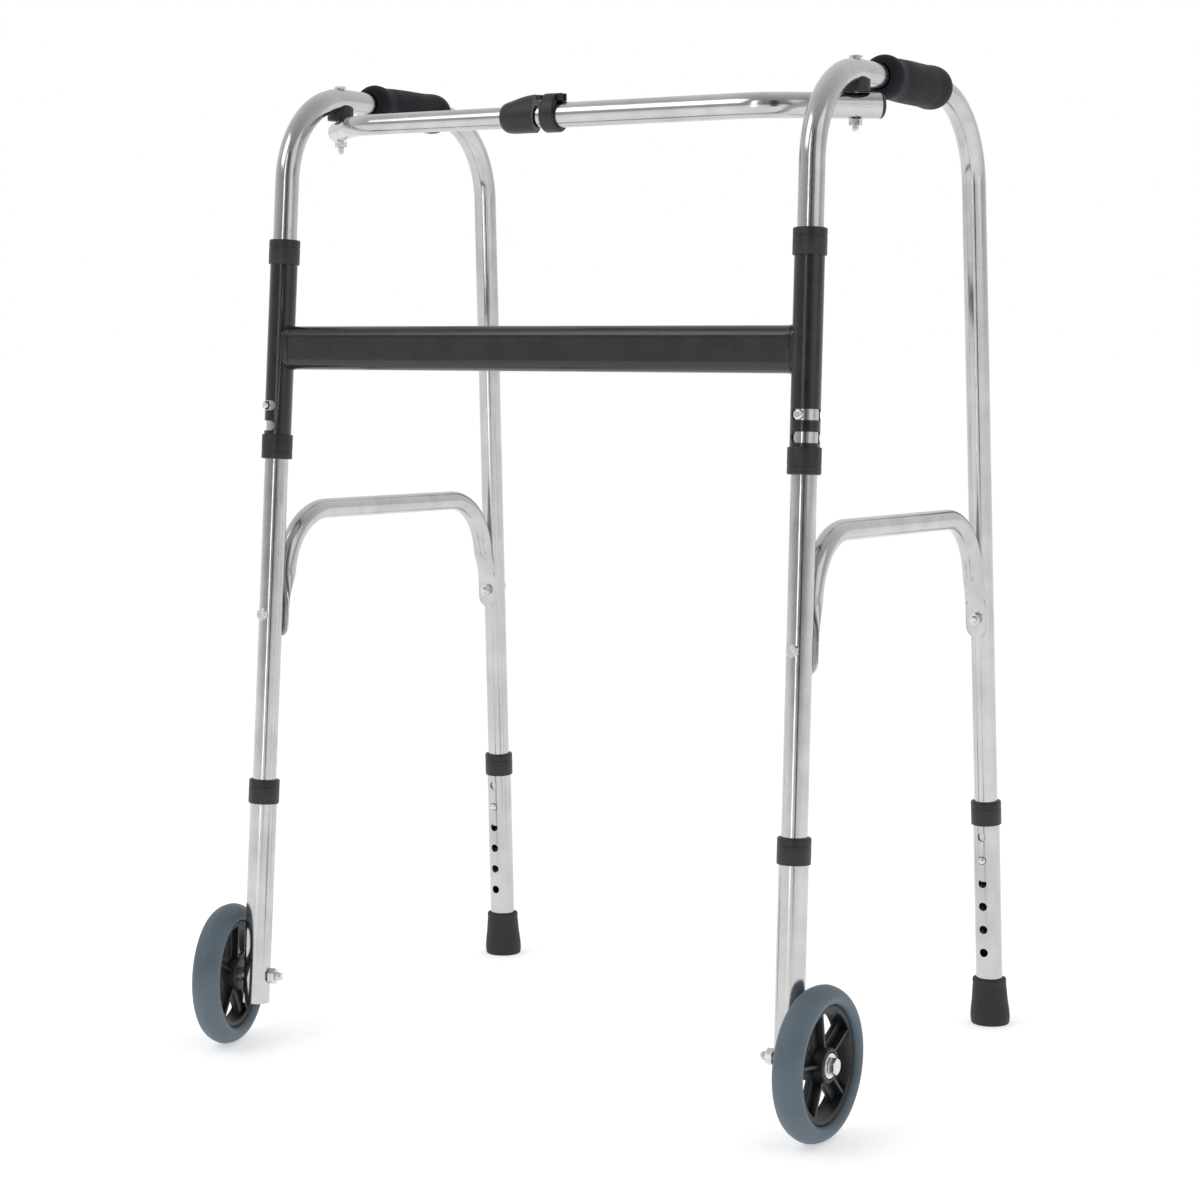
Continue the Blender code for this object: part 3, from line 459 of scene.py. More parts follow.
def rounded(corners):
    """Bend a list of (point, radius) into one path with round corners."""
    path = [corners[0][0]]
    for before, (corner, radius), after in zip(corners, corners[1:], corners[2:]):
        a = (before[0] - corner).normalized()
        b = (after[0] - corner).normalized()
        half = a.angle(b) / 2
        centre = corner + (a + b).normalized() * radius / sin(half)
        first = corner + a * radius / tan(half) - centre
        last = corner + b * radius / tan(half) - centre
        turn = first.angle(last)
        for i in range(BEND_STEPS + 1):
            t = i / BEND_STEPS
            arm = first * sin((1 - t) * turn) + last * sin(t * turn)
            path.append(centre + arm / sin(turn))
    path.append(corners[-1][0])
    return path


def rod(path, radius, sides=TUBE_SIDES):
    curve = bpy.data.curves.new("rod", "CURVE")
    curve.dimensions = "3D"
    curve.bevel_depth = radius
    curve.bevel_resolution = (sides - 4) // 2
    curve.use_fill_caps = True
    spline = curve.splines.new("POLY")
    spline.points.add(len(path) - 1)
    for point, place in zip(spline.points, path):
        point.co = (*place, 1.0)
    return baked(link(curve))


def tube(path, radius, wall=TUBE_WALL):
    """A hollow tube along a path, open at both ends."""
    overrun = 0.004
    first = path[0] + (path[0] - path[1]).normalized() * overrun
    last = path[-1] + (path[-1] - path[-2]).normalized() * overrun
    core = rod([first, *path[1:-1], last], radius - wall)
    return cut(rod(path, radius), core)


def extruded(outline, half_depth, matrix):
    curve = bpy.data.curves.new("outline", "CURVE")
    curve.dimensions = "2D"
    curve.fill_mode = "BOTH"
    curve.extrude = half_depth
    spline = curve.splines.new("POLY")
    spline.points.add(len(outline) - 1)
    spline.use_cyclic_u = True
    for point, (x, y) in zip(spline.points, outline):
        point.co = (x, y, 0, 1)
    obj = link(curve)
    obj.matrix_world = matrix
    return baked(obj)


def hex_prism(start, end, across_flats):
    """A hexagon with its corners turned off at the end face."""
    direction = end - start
    length = direction.length
    corner = across_flats / sqrt(3)
    chamfer = 0.0008
    drop = 0.0006
    profile = [(0.0, length), (corner - chamfer, length), (corner + 0.0001, length - drop),
               (corner + 0.0001, 0.0), (0.0, 0.0)]
    return common(cylinder(start, end, corner, 6), turned(profile, aligned(start, direction)))


def threaded(start, end, radius, plain):
    """A shank with rolled thread rings beyond its plain length."""
    length = (end - start).length
    depth = 0.0004
    profile = [(radius, plain), (radius, 0.0), (0.0, 0.0)]
    turns = int((length - plain) / THREAD_PITCH) - 1
    for i in range(turns):
        height = plain + i * THREAD_PITCH
        profile.insert(0, (radius, height + 0.3 * THREAD_PITCH))
        profile.insert(0, (radius - depth, height + 0.8 * THREAD_PITCH))
    profile = [(0.0, length), (radius - 0.0008, length)] + profile
    return turned(profile, aligned(start, end - start), PIN_SIDES)


def bolt(node, head_face, direction, length, across_flats, head, radius, plain):
    """A hex bolt: its head stands behind head_face and its shank runs along direction."""
    prism = hex_prism(head_face, head_face - direction * head, across_flats)
    start = head_face - direction * head / 2
    shank = threaded(start, head_face + direction * length, radius, plain)
    piece(join(prism, shank), node, 30)


def nut(node, start, direction, thickness, across_flats, bore):
    prism = hex_prism(start, start + direction * thickness, across_flats)
    hole = cylinder(start - direction * thickness, start + direction * 2 * thickness, bore)
    piece(cut(prism, hole), node, 30)


# ---------------------------------------------------------------- lines of the frame

def front_leg(side, z):
    return Vector((side * (LEG_X - LEG_X_LEAN * z), FRONT_Y + FRONT_LEAN * z, z))


def rear_leg(side, z):
    return Vector((side * (LEG_X - LEG_X_LEAN * z), REAR_Y - REAR_LEAN * z, z))


def on_leg(leg, side, z):
    """A frame on a leg at height z: Z up the leg, -Y to the front."""
    return aligned(leg(side, z), leg(side, 1.0) - leg(side, 0.0))


def arch_corner(side, top_z, slope, base_y, lean):
    """Where a leg line meets a sloping top line."""
    z = (top_z - slope * base_y) / (1 + slope * lean)
    return Vector((side * (LEG_X - LEG_X_LEAN * z), base_y + lean * z, z))


def handle_point(side, y):
    z = HANDLE_Z - HANDLE_SLOPE * y
    return Vector((side * (LEG_X - LEG_X_LEAN * z), y, z))


def bar_bolt(side):
    return Vector((side * (LEG_X - LEG_X_LEAN * HANDLE_Z), BAR_BOLT_Y, BAR_Z))


def radial_pin(matrix, angle, inner, outer, radius):
    """A pin that stands out from a leg, at an angle from -Y towards +X."""
    direction = Vector((sin(angle), -cos(angle), 0))
    return cylinder(matrix @ (direction * inner), matrix @ (direction * outer), radius, PIN_SIDES)


def side_name(side):
    return "right" if side > 0 else "left"


# ---------------------------------------------------------------- cross frame

def stadium(height, depth, steps=16):
    """An upright oval outline with straight sides."""
    r = depth / 2
    straight = height / 2 - r
    top = [(r * cos(pi * i / steps), straight + r * sin(pi * i / steps))
           for i in range(steps + 1)]
    return top + [(-x, -y) for x, y in top]


def arc_block(matrix, radii, angles, half_height):
    """A curved block about Z. Angles run from -Y towards +X."""
    steps = 20
    turns = [angles[0] + (angles[1] - angles[0]) * i / steps for i in range(steps + 1)]
    inner = [(radii[0] * sin(a), -radii[0] * cos(a)) for a in turns]
    outer = [(radii[1] * sin(a), -radii[1] * cos(a)) for a in turns]
    return extruded(inner + outer[::-1], half_height, matrix)


def build_cross_frame():
    """Two sleeves joined by the oval crossbar, with a weld bead round each joint."""
    middle = Vector((0, FRONT_Y + FRONT_LEAN * CROSSBAR_Z, CROSSBAR_Z))
    across = Matrix(((0, 0, 1, 0), (1, 0, 0, 0), (0, 1, 0, 0), (0, 0, 0, 1)))
    across = Matrix.Translation(middle) @ across
    reach = LEG_X - LEG_X_LEAN * CROSSBAR_Z - 0.004
    shape = extruded(stadium(CROSSBAR_HEIGHT, CROSSBAR_DEPTH), reach, across)
    bead_reach = LEG_X - LEG_X_LEAN * CROSSBAR_Z - SLEEVE_R + 0.0016
    for side in (-1, 1):
        shape = join(shape, rod([front_leg(side, z) for z in SLEEVE_Z], SLEEVE_R))
        end = Matrix.Translation((side * (bead_reach - WELD_DEPTH), 0, 0)) @ across
        outline = stadium(CROSSBAR_HEIGHT + 2 * WELD_BEAD, CROSSBAR_DEPTH + 2 * WELD_BEAD)
        shape = join(shape, softened(extruded(outline, WELD_DEPTH, end), 0.0009, 3))
    for side in (-1, 1):
        ends = [front_leg(side, SLEEVE_Z[0] - 0.01), front_leg(side, SLEEVE_Z[1] + 0.01)]
        shape = cut(shape, rod(ends, SLIDE_BORE_R))
        angles = SLOT_ANGLES[side]
        for z in SLOT_Z:
            matrix = on_leg(front_leg, side, z)
            pins = [radial_pin(matrix, angle, *SLOT_CUT, SLOT_HEIGHT / 2)
                    for angle in angles]
            middle_cut = arc_block(matrix, SLOT_CUT, angles, SLOT_HEIGHT / 2 - 0.00002)
            shape = cut(shape, middle_cut, *pins)
    piece(shape, "cross_frame", 35)


def build_collar(node, leg, side, z, tube_r, lip_on_top=True):
    """A moulded end collar: a lip on the leg, a cup over the tube and a shadow line."""
    r = COLLAR_R
    cup_r = tube_r + GAP
    step = COLLAR_LENGTH - COLLAR_LIP
    round_off = [(r - 0.0014 + 0.0014 * sin(a), COLLAR_LENGTH - 0.0014 + 0.0014 * cos(a))
                 for a in (pi * i / 10 for i in range(6))]
    profile = [(SLIDE_BORE_R, COLLAR_LENGTH), *round_off, (r, step + 0.0016),
               (r - 0.0003, step + 0.0013), (r - 0.0003, step + 0.0007), (r, step + 0.0004),
               (r, 0.0008), (r - 0.0003, 0.0002), (r - 0.0008, 0.0), (cup_r, 0.0),
               (cup_r, step), (SLIDE_BORE_R, step)]
    if not lip_on_top:
        profile = [(radius, COLLAR_LENGTH - h) for radius, h in reversed(profile)]
    piece(turned(profile, on_leg(leg, side, z), ring=True), node)


# ---------------------------------------------------------------- side frames

def side_path(side):
    """The side tube's centre line, up one leg, over the handle and down the other."""
    return rounded([
        (front_leg(side, FRONT_TUBE_END_Z), 0.0),
        (arch_corner(side, HANDLE_Z, HANDLE_SLOPE, FRONT_Y, FRONT_LEAN), FRONT_BEND_R),
        (arch_corner(side, HANDLE_Z, HANDLE_SLOPE, REAR_Y, -REAR_LEAN), REAR_BEND_R),
        (rear_leg(side, REAR_TUBE_END_Z), 0.0)])


def build_side_tube(side):
    piece(rod(side_path(side), LEG_R), side_name(side) + "_side_tube")


def press_end(obj, leg, side, tip_z):
    """Press the brace's end flat against its leg, with a round tip."""
    matrix = on_leg(leg, side, tip_z)
    inverse = matrix.inverted()
    towards = 1.0 if leg is front_leg else -1.0
    near = LEG_R + GAP
    tip_r = 0.0105
    for vert in obj.data.vertices:
        local = inverse @ vert.co
        share = min(max((local.z - BRACE_PLATE) / BRACE_PRESS_LENGTH, 0.0), 1.0)
        if share >= 1.0 or towards * local.y > near + 2.5 * BRACE_R:
            continue
        smooth = share * share * (3 - 2 * share)
        flat = BRACE_FLAT / (2 * BRACE_R)
        squeeze = flat + (1 - flat) * smooth
        local.y = towards * (near + (towards * local.y - near) * squeeze)
        local.x *= 1.0 + 0.22 * (1 - smooth)
        if local.z < tip_r:
            back = (tip_r - max(local.z, 0.0)) / tip_r
            local.x *= max(sqrt(1 - back * back), 0.12)
        vert.co = matrix @ local


def build_brace(side):
    """The bent brace between the legs, with its ends pressed flat for the bolts."""
    offset = LEG_R + GAP + BRACE_R
    front_shift = offset * sqrt(1 + FRONT_LEAN ** 2)
    rear_shift = -offset * sqrt(1 + REAR_LEAN ** 2)
    front_tip = front_leg(side, FRONT_BRACE_TIP_Z) + Vector((0, front_shift, 0))
    rear_tip = rear_leg(side, REAR_BRACE_TIP_Z) + Vector((0, rear_shift, 0))
    path = rounded([
        (front_tip, 0.0),
        (arch_corner(side, BRACE_Z, BRACE_SLOPE, FRONT_Y + front_shift, FRONT_LEAN),
         BRACE_BEND_R),
        (arch_corner(side, BRACE_Z, BRACE_SLOPE, REAR_Y + rear_shift, -REAR_LEAN),
         BRACE_BEND_R),
        (rear_tip, 0.0)])
    stations = [0.006, 0.025, 0.06, 0.1, 0.17] + [0.3 + 0.05 * i for i in range(14)]
    front = [path[0].lerp(path[1], share) for share in stations]
    rear = [path[-1].lerp(path[-2], share) for share in reversed(stations)]
    brace = rod([path[0], *front, *path[1:-1], *rear, path[-1]], BRACE_R)
    press_end(brace, front_leg, side, FRONT_BRACE_TIP_Z)
    press_end(brace, rear_leg, side, REAR_BRACE_TIP_Z)
    piece(brace, side_name(side) + "_brace")


def build_grip(side):
    """A moulded grip: humps at both ends, a waist behind the front one and mould rings."""
    start = handle_point(side, GRIP_Y[0])
    end = handle_point(side, GRIP_Y[1])
    length = (end - start).length
    bore = LEG_R + 0.0006
    outer = flowing([(0.0122, 0.0), (0.0153, 0.0018), (0.0178, 0.0048), (0.0194, 0.0095),
                     (0.0195, 0.0140), (0.0187, 0.0205), (0.0182, 0.0270), (0.0187, 0.0400),
                     (0.0190, 0.0600), (0.0189, 0.0800), (0.0190, 0.0950), (0.0196, 0.1040),
                     (0.0197, 0.1090), (0.0191, 0.1148), (0.0172, 0.1195), (0.0143, 0.1225),
                     (0.0122, length)])
    profile = [(bore, length - 0.0004)] + outer[::-1] + [(bore, 0.0004)]
    piece(turned(profile, aligned(start, end - start), 96, ring=True),
          side_name(side) + "_hand_grip")


def build_brace_hardware(side):
    name = side_name(side)
    clear = LEG_R + GAP
    through = clear + BRACE_FLAT + GAP
    length = clear + through + 0.0085
    for place, leg, z, sign in (("front", front_leg, FRONT_BRACE_BOLT_Z, 1),
                                ("rear", rear_leg, REAR_BRACE_BOLT_Z, -1)):
        out = on_leg(leg, side, z).to_3x3() @ Vector((0, sign, 0))
        at = leg(side, z)
        bolt(f"{name}_brace_{place}_bolt", at - out * clear, out, length, 0.010, 0.0035, M6_R,
             0.026)
        nut(f"{name}_brace_{place}_nut", at + out * through, out, 0.0050, 0.010, M6_R + GAP)


def build_pivot_bolt(side, bar_r):
    name = side_name(side)
    down = Vector((0, 0, -1))
    centre = bar_bolt(side)
    head_z = HANDLE_Z - HANDLE_SLOPE * BAR_BOLT_Y + LEG_R + 0.0002
    head_face = Vector((centre.x, centre.y, head_z))
    bolt(name + "_pivot_bolt", head_face, down, head_z - BAR_Z + 0.0220, 0.010, 0.0019, M6_R,
         0.050)
    nut(name + "_pivot_nut", centre + down * (bar_r + GAP), down, 0.0055, 0.010, M6_R + GAP)


def build_stud(side):
    """The slotted stud on the leg that runs in the sleeve's upper slot."""
    matrix = on_leg(front_leg, side, SLOT_Z[0])
    turn = Matrix.Rotation(STUD_TURN[side], 4, "Z")
    radial = matrix @ turn @ Matrix.Rotation(pi / 2, 4, "X")
    profile = [(0.0, 0.0150), (0.0010, 0.0150), (0.0013, 0.0142), (0.0024, 0.0142),
               (0.0027, 0.0149), (0.0034, 0.0148), (0.0042, 0.0140), (0.0042, 0.0114),
               (0.0024, 0.0114), (0.0024, 0.0088), (0.0, 0.0088)]
    piece(turned(profile, radial, 32), side_name(side) + "_sleeve_stud")


def ribbon(points, thickness):
    """The outline of a strip that follows a line of points."""
    left = []
    right = []
    for i, (x, y) in enumerate(points):
        ax, ay = points[max(i - 1, 0)]
        bx, by = points[min(i + 1, len(points) - 1)]
        length = sqrt((bx - ax) ** 2 + (by - ay) ** 2)
        nx = -(by - ay) / length * thickness / 2
        ny = (bx - ax) / length * thickness / 2
        left.append((x + nx, y + ny))
        right.append((x - nx, y - ny))
    return left + right[::-1]


def build_snap_button(node, leg, side, z, faces_front):
    """A domed button on a folded strip spring inside the leg."""
    matrix = on_leg(leg, side, z)
    if not faces_front:
        matrix = matrix @ Matrix.Rotation(pi, 4, "Z")
    radial = matrix @ Matrix.Rotation(pi / 2, 4, "X")
    reach = 0.0084
    back = BUTTON_PRESS - reach   # the rear leaf leaves room for the button's travel
    strip = flowing([(reach, -0.010), (reach, 0.012), (0.006, 0.022), (0.0022, 0.0260),
                     (-0.0018, 0.022), (back, 0.012), (back, -0.004)], 3)
    plane = matrix @ Matrix(((0, 0, 1, 0), (-1, 0, 0, 0), (0, 1, 0, 0), (0, 0, 0, 1)))
    spring = extruded(ribbon(strip, SPRING_THICKNESS), SPRING_HALF_WIDTH, plane)
    base = 0.0083
    dome = [(BUTTON_R * sin(a), 0.0122 + 0.0030 * cos(a)) for a in
            (pi * i / 16 for i in range(9))]
    dome += [(BUTTON_R, base), (0.0, base)]
    piece(join(spring, turned(dome, radial, 32)), node)


# ---------------------------------------------------------------- legs and feet

def build_extension(node, leg, side, ends, top_hole_z, hole_angle, axle_hole=False):
    """A larger tube that slides over the leg, with a row of button holes."""
    shape = rod([leg(side, ends[1]), leg(side, ends[0])], EXTENSION_R, FINE)
    shape = cut(shape, rod([leg(side, ends[1] + 0.01), leg(side, ends[0] - 0.01)],
                           SLIDE_BORE_R, FINE))
    matrix = on_leg(leg, side, top_hole_z)
    for i in range(HOLE_COUNT):
        at = matrix @ Matrix.Translation((0, 0, -i * HOLE_PITCH))
        shape = cut(shape, radial_pin(at, hole_angle, 0.004, 0.030, HOLE_R))
    if axle_hole:
        centre = front_leg(side, WHEEL_R)
        reach = axle_out(side) * 0.030
        shape = cut(shape, cylinder(centre - reach, centre + reach, AXLE_R + GAP))
    piece(shape, node, 35)


def build_rubber_tip(side):
    """A rubber ferrule: rolled rim, flared body, a groove and a flat sole."""
    bore = EXTENSION_R + GAP
    top = TIP_HEIGHT
    outer = flowing([(0.0150, top), (0.0161, top - 0.0008), (0.0163, top - 0.0030),
                     (0.0161, top - 0.0052), (0.0165, top - 0.0100), (0.0174, 0.0240),
                     (0.0185, 0.0150), (0.0189, 0.0105), (0.0190, 0.0060),
                     (0.0186, 0.0015), (0.0178, 0.0)], 4)
    profile = [(bore, top)] + outer + [(0.0, 0.0), (0.0, TIP_SOLE), (bore, TIP_SOLE)]
    shape = turned(profile, Matrix.Identity(4), ring=True)
    base = rear_leg(side, 0.0)
    for vert in shape.data.vertices:
        lean = rear_leg(side, vert.co.z) - base
        vert.co = base + vert.co + Vector((lean.x, lean.y, 0))
    piece(shape, side_name(side) + "_rubber_tip")


# ---------------------------------------------------------------- wheels

def axle_out(side):
    """Unit vector along the axle, pointing outboard."""
    toe = WHEEL_TOE[side]
    return Vector((side * cos(toe), side * sin(toe), 0))


def wheel_matrix(side):
    """A frame at the wheel's centre with Z pointing outboard and Y up."""
    out = axle_out(side)
    return aligned(front_leg(side, WHEEL_R) + out * WHEEL_OUTBOARD, out,
                   Vector((-out.y, out.x, 0)))


def build_tyre(side):
    """A solid tyre: smooth crown with a parting line, rounded shoulders, beads at the rim."""
    half = TYRE_WIDTH / 2
    seat = RIM_R + GAP
    flank = flowing([(seat, half - 0.0042), (0.0524, half - 0.0022), (0.0545, half - 0.0008),
                     (0.0575, half - 0.0004), (0.0605, half - 0.0018), (0.0632, half - 0.0046),
                     (0.0652, half - 0.0084), (0.0662, half - 0.0116)], 5)
    crown = [(0.06640, 0.0006), (WHEEL_R, 0.0)]
    upper = flank + crown
    profile = upper + [(r, -h) for r, h in reversed(upper[:-1])]
    piece(turned(profile, wheel_matrix(side), 128, ring=True), side_name(side) + "_tyre")


def spoke_outline(inner, outer, inner_half, outer_half):
    """A web that widens smoothly into the boss and into the rim."""
    steps = 8
    upper = []
    for i in range(steps + 1):
        t = i / steps
        swell = (2 * t - 1) ** 4
        narrow = inner_half + (outer_half - inner_half) * t
        upper.append((inner + (outer - inner) * t, narrow * (0.86 + 0.34 * swell)))
    return upper + [(x, -y) for x, y in reversed(upper)]


def build_hub(side):
    """A moulded hub: lipped rim, boss with a raised collar, five ribbed spokes."""
    matrix = wheel_matrix(side)
    half = RIM_WIDTH / 2
    lip = 0.0450
    rim = [(RIM_R, half - 0.0014), (RIM_R, -half + 0.0014), (RIM_R - 0.0006, -half + 0.0004),
           (RIM_R - 0.0014, -half), (lip + 0.0010, -half), (lip, -half + 0.0010),
           (lip + 0.0012, -0.004), (lip + 0.0012, 0.004), (lip, half - 0.0010),
           (lip + 0.0010, half), (RIM_R - 0.0014, half), (RIM_R - 0.0006, half - 0.0004)]
    boss = [(0.0, 0.0115), (0.0140, 0.0115), (0.0150, 0.0105), (0.0162, -0.0020),
            (0.0162, -0.0045), (0.0150, -0.0105), (0.0140, -0.0115), (0.0, -0.0115)]
    hub = turned(boss, matrix)
    for i in range(SPOKES):
        turn = matrix @ Matrix.Rotation(2 * pi * i / SPOKES + SPOKE_TURN[side], 4, "Z")
        web = extruded(spoke_outline(*WEB_SPAN, *WEB_HALF_WIDTH), WEB_HALF_DEPTH,
                       turn @ Matrix.Translation((0, 0, -0.0015)))
        rib = block((0.0090, -0.0013, -0.0080), (0.0472, 0.0013, 0.0074), turn)
        hub = join(hub, softened(web, 0.0006), rib)
    hub = join(hub, turned(rim, matrix, 96, ring=True))
    centre = matrix.translation
    out = axle_out(side)
    recess = cylinder(centre + out * 0.0093, centre + out * 0.02, 0.0118)
    bore = cylinder(centre - out * 0.02, centre + out * 0.02, 0.0068)
    piece(cut(hub, recess, bore), side_name(side) + "_wheel_hub", 30)


def build_axle(side):
    """The wheel's bush and washer, and the axle bolt with its nut inboard of the leg."""
    name = side_name(side)
    centre = front_leg(side, WHEEL_R)
    out = axle_out(side)
    matrix = wheel_matrix(side)
    matrix.translation = centre
    bore = AXLE_R + GAP
    bush_start = EXTENSION_R + GAP
    bush_end = WHEEL_OUTBOARD + BUSH_TO_WHEEL
    washer_start = bush_end + GAP
    washer_end = washer_start + 0.0016
    rim = 0.0003
    bush = [(BUSH_R, bush_end), (BUSH_R, bush_start), (bore, bush_start), (bore, bush_end)]
    washer = [(0.0108 - rim, washer_end), (0.0108, washer_end - rim),
              (0.0108, washer_start + rim), (0.0108 - rim, washer_start),
              (bore, washer_start), (bore, washer_end)]
    piece(turned(bush, matrix, ring=True), name + "_wheel_bush")
    piece(turned(washer, matrix, ring=True), name + "_axle_washer", 30)
    face = centre + out * (washer_end + GAP)
    length = washer_end + GAP + EXTENSION_R + 0.0125
    bolt(name + "_axle_bolt", face, -out, length, 0.013, 0.0053, AXLE_R, length - 0.012)
    nut(name + "_axle_nut", centre - out * bush_start, -out, 0.0065, 0.013, bore)


# ---------------------------------------------------------------- top bar and clip

def bar_corner(side):
    return Vector((side * BAR_CORNER_X, BAR_Y, BAR_Z))


def bar_tail(side):
    return (bar_bolt(side) - bar_corner(side)).normalized()


def relief_cutter(sign):
    """Clears one side of the V that opens to the rear between the two halves."""
    tip_x = CLIP_COLLAR_X[1] + (GAP if sign > 0 else 0.0)
    tip = Vector((tip_x, BAR_Y - CLIP_LOW_R, BAR_Z))
    turn = Matrix.Translation(tip) @ Matrix.Rotation(-sign * atan2(CLIP_RELIEF, 1.0), 4, "Z")
    size = 0.040
    low_x, high_x = (-size, 0.0) if sign > 0 else (0.0, size)
    return block((low_x, -size, -size), (high_x, 2 * size, size), turn)


def build_bar(side, radius, end_x):
    """Half of the top bar, bent back at its outer end to the bolt under the handle."""
    outer_end = bar_bolt(side) + bar_tail(side) * BAR_TAIL[side]
    inner_end = Vector((end_x, BAR_Y, BAR_Z))
    path = rounded([(outer_end, 0.0), (bar_corner(side), BAR_BEND_R), (inner_end, 0.0)])
    shape = tube(path, radius)
    if side > 0:
        shape = cut(shape, relief_cutter(1))
    piece(shape, side_name(side) + "_bar_half")


def build_bar_plug(side, radius):
    """The end plug with its domed face."""
    tail = bar_tail(side)
    start = bar_bolt(side) + tail * (BAR_TAIL[side] + GAP)
    inside = (radius - TUBE_WALL - GAP) * 0.96
    profile = [(0.0, 0.0042), (radius - 0.0045, 0.0040), (radius - 0.0018, 0.0032),
               (radius - 0.0004, 0.0018), (radius, 0.0006), (radius, 0.0), (inside, 0.0),
               (inside, -0.009), (0.0, -0.009)]
    piece(turned(profile, aligned(start, tail)), side_name(side) + "_bar_plug")


def build_spacer(side, radius):
    """The saddle that hugs the handle's underside above the bar."""
    centre = bar_bolt(side)
    foot = radius + GAP
    top = SPACER_TOP - BAR_Z
    edge = 0.0007
    outline = [(0.0, top), (SPACER_R - edge, top), (SPACER_R, top - edge),
               (SPACER_R, foot + edge), (SPACER_R - edge, foot), (0.0, foot)]
    handle = rod(side_path(side), LEG_R + GAP)
    hole = cylinder(centre, centre + Vector((0, 0, top + 0.01)), M6_R + GAP)
    saddle = cut(turned(outline, Matrix.Translation(centre)), handle, hole)
    piece(saddle, side_name(side) + "_bar_spacer", 30)


def clip_section(matrix, stations, bore):
    """A body along X with a round lower half and a raised back, bored for a tube."""
    bm = bmesh.new()
    bmesh.ops.create_cone(bm, cap_ends=True, segments=FINE, radius1=1.0, radius2=1.0,
                          depth=1.0)
    walls = [e for e in bm.edges if abs(e.verts[0].co.z - e.verts[1].co.z) > 0.5]
    bmesh.ops.subdivide_edges(bm, edges=walls, cuts=len(stations) - 2)
    last = len(stations) - 1
    for vert in bm.verts:
        x, low, high = stations[round((vert.co.z + 0.5) * last)]
        up = high if vert.co.y > 0 else low
        vert.co = (x, vert.co.x * low, vert.co.y * up)
    bmesh.ops.recalc_face_normals(bm, faces=bm.faces)
    shape = from_bmesh(bm, matrix)
    low_x = stations[0][0] - 0.01
    high_x = stations[-1][0] + 0.01
    core = cylinder(matrix @ Vector((low_x, 0, 0)), matrix @ Vector((high_x, 0, 0)), bore)
    return cut(shape, core)


def build_clip():
    """Tapered collar on the left half, band and ridged release lever on the right half."""
    middle = Matrix.Translation((0, BAR_Y, BAR_Z))
    x0, x1 = CLIP_COLLAR_X
    low = CLIP_LOW_R
    collar = clip_section(middle, flowing([
        (x0, 0.0108, 0.0108), (x0 + 0.0006, 0.0120, 0.0118), (x0 + 0.002, 0.0131, 0.0127),
        (x0 + 0.005, 0.0141, 0.0137), (x0 + 0.010, low, 0.0150), (x0 + 0.018, low, 0.0172),
        (x0 + 0.026, low, 0.0188), (x1 - 0.002, low, CLIP_TOP), (x1, low - 0.0004, CLIP_TOP)],
        4), THIN_BAR_R + GAP)
    piece(cut(collar, relief_cutter(-1)), "clip_collar", 30)
    b0, b1 = CLIP_BAND_X
    band = clip_section(middle, [
        (b0, low, CLIP_TOP), (b0 + 0.0006, 0.0149, 0.0199), (b0 + 0.0014, 0.0150, 0.0201),
        (b1 - 0.0014, 0.0150, 0.0204), (b1 - 0.0006, 0.0149, 0.0203), (b1, low, 0.0200)],
        THICK_BAR_R + GAP)
    half = LEVER_HALF_WIDTH
    slot = block((b0 - 0.01, -half - GAP, 0.009), (b1 + 0.01, half + GAP, 0.030), middle)
    pin_half = LEVER_PIN_HALF
    ends = [middle @ Vector((0, y, LEVER_PIN_Z)) for y in (-pin_half, pin_half)]
    hole_ends = [middle @ Vector((0, y, LEVER_PIN_Z)) for y in
                 (-pin_half - GAP, pin_half + GAP)]
    band = cut(band, slot, cylinder(*hole_ends, LEVER_PIN_R + GAP, PIN_SIDES))
    piece(band, "clip_band", 30)
    tongue = block((x1 + GAP, -half, TONGUE_Z[0]), (0.004, half, TONGUE_Z[1]), middle, 0.0005)
    tab = block((-0.0022, -half, TAB_Z[0]), (0.0150, half, TAB_Z[1]), middle, 0.0008)
    grooves = []
    for i in range(GROOVES):
        x = 0.0068 + GROOVE_PITCH * i
        grooves.append(cylinder(middle @ Vector((x, -0.01, 0.0196)),
                                middle @ Vector((x, 0.01, 0.0196)), 0.0009, PIN_SIDES))
    hood = block((x1 + GAP, -0.0095, TONGUE_Z[0]), (-0.0040, 0.0095, TONGUE_Z[1]), middle,
                 0.0006)
    notch = block((0.0132, -0.0022, 0.010), (0.0200, 0.0022, 0.030), middle, 0.0005)
    lever = cut(join(tab, tongue, hood), relief_cutter(1), *grooves, notch)
    piece(join(lever, cylinder(*ends, LEVER_PIN_R, PIN_SIDES)), "clip_lever", 30)


# ---------------------------------------------------------------- assembly

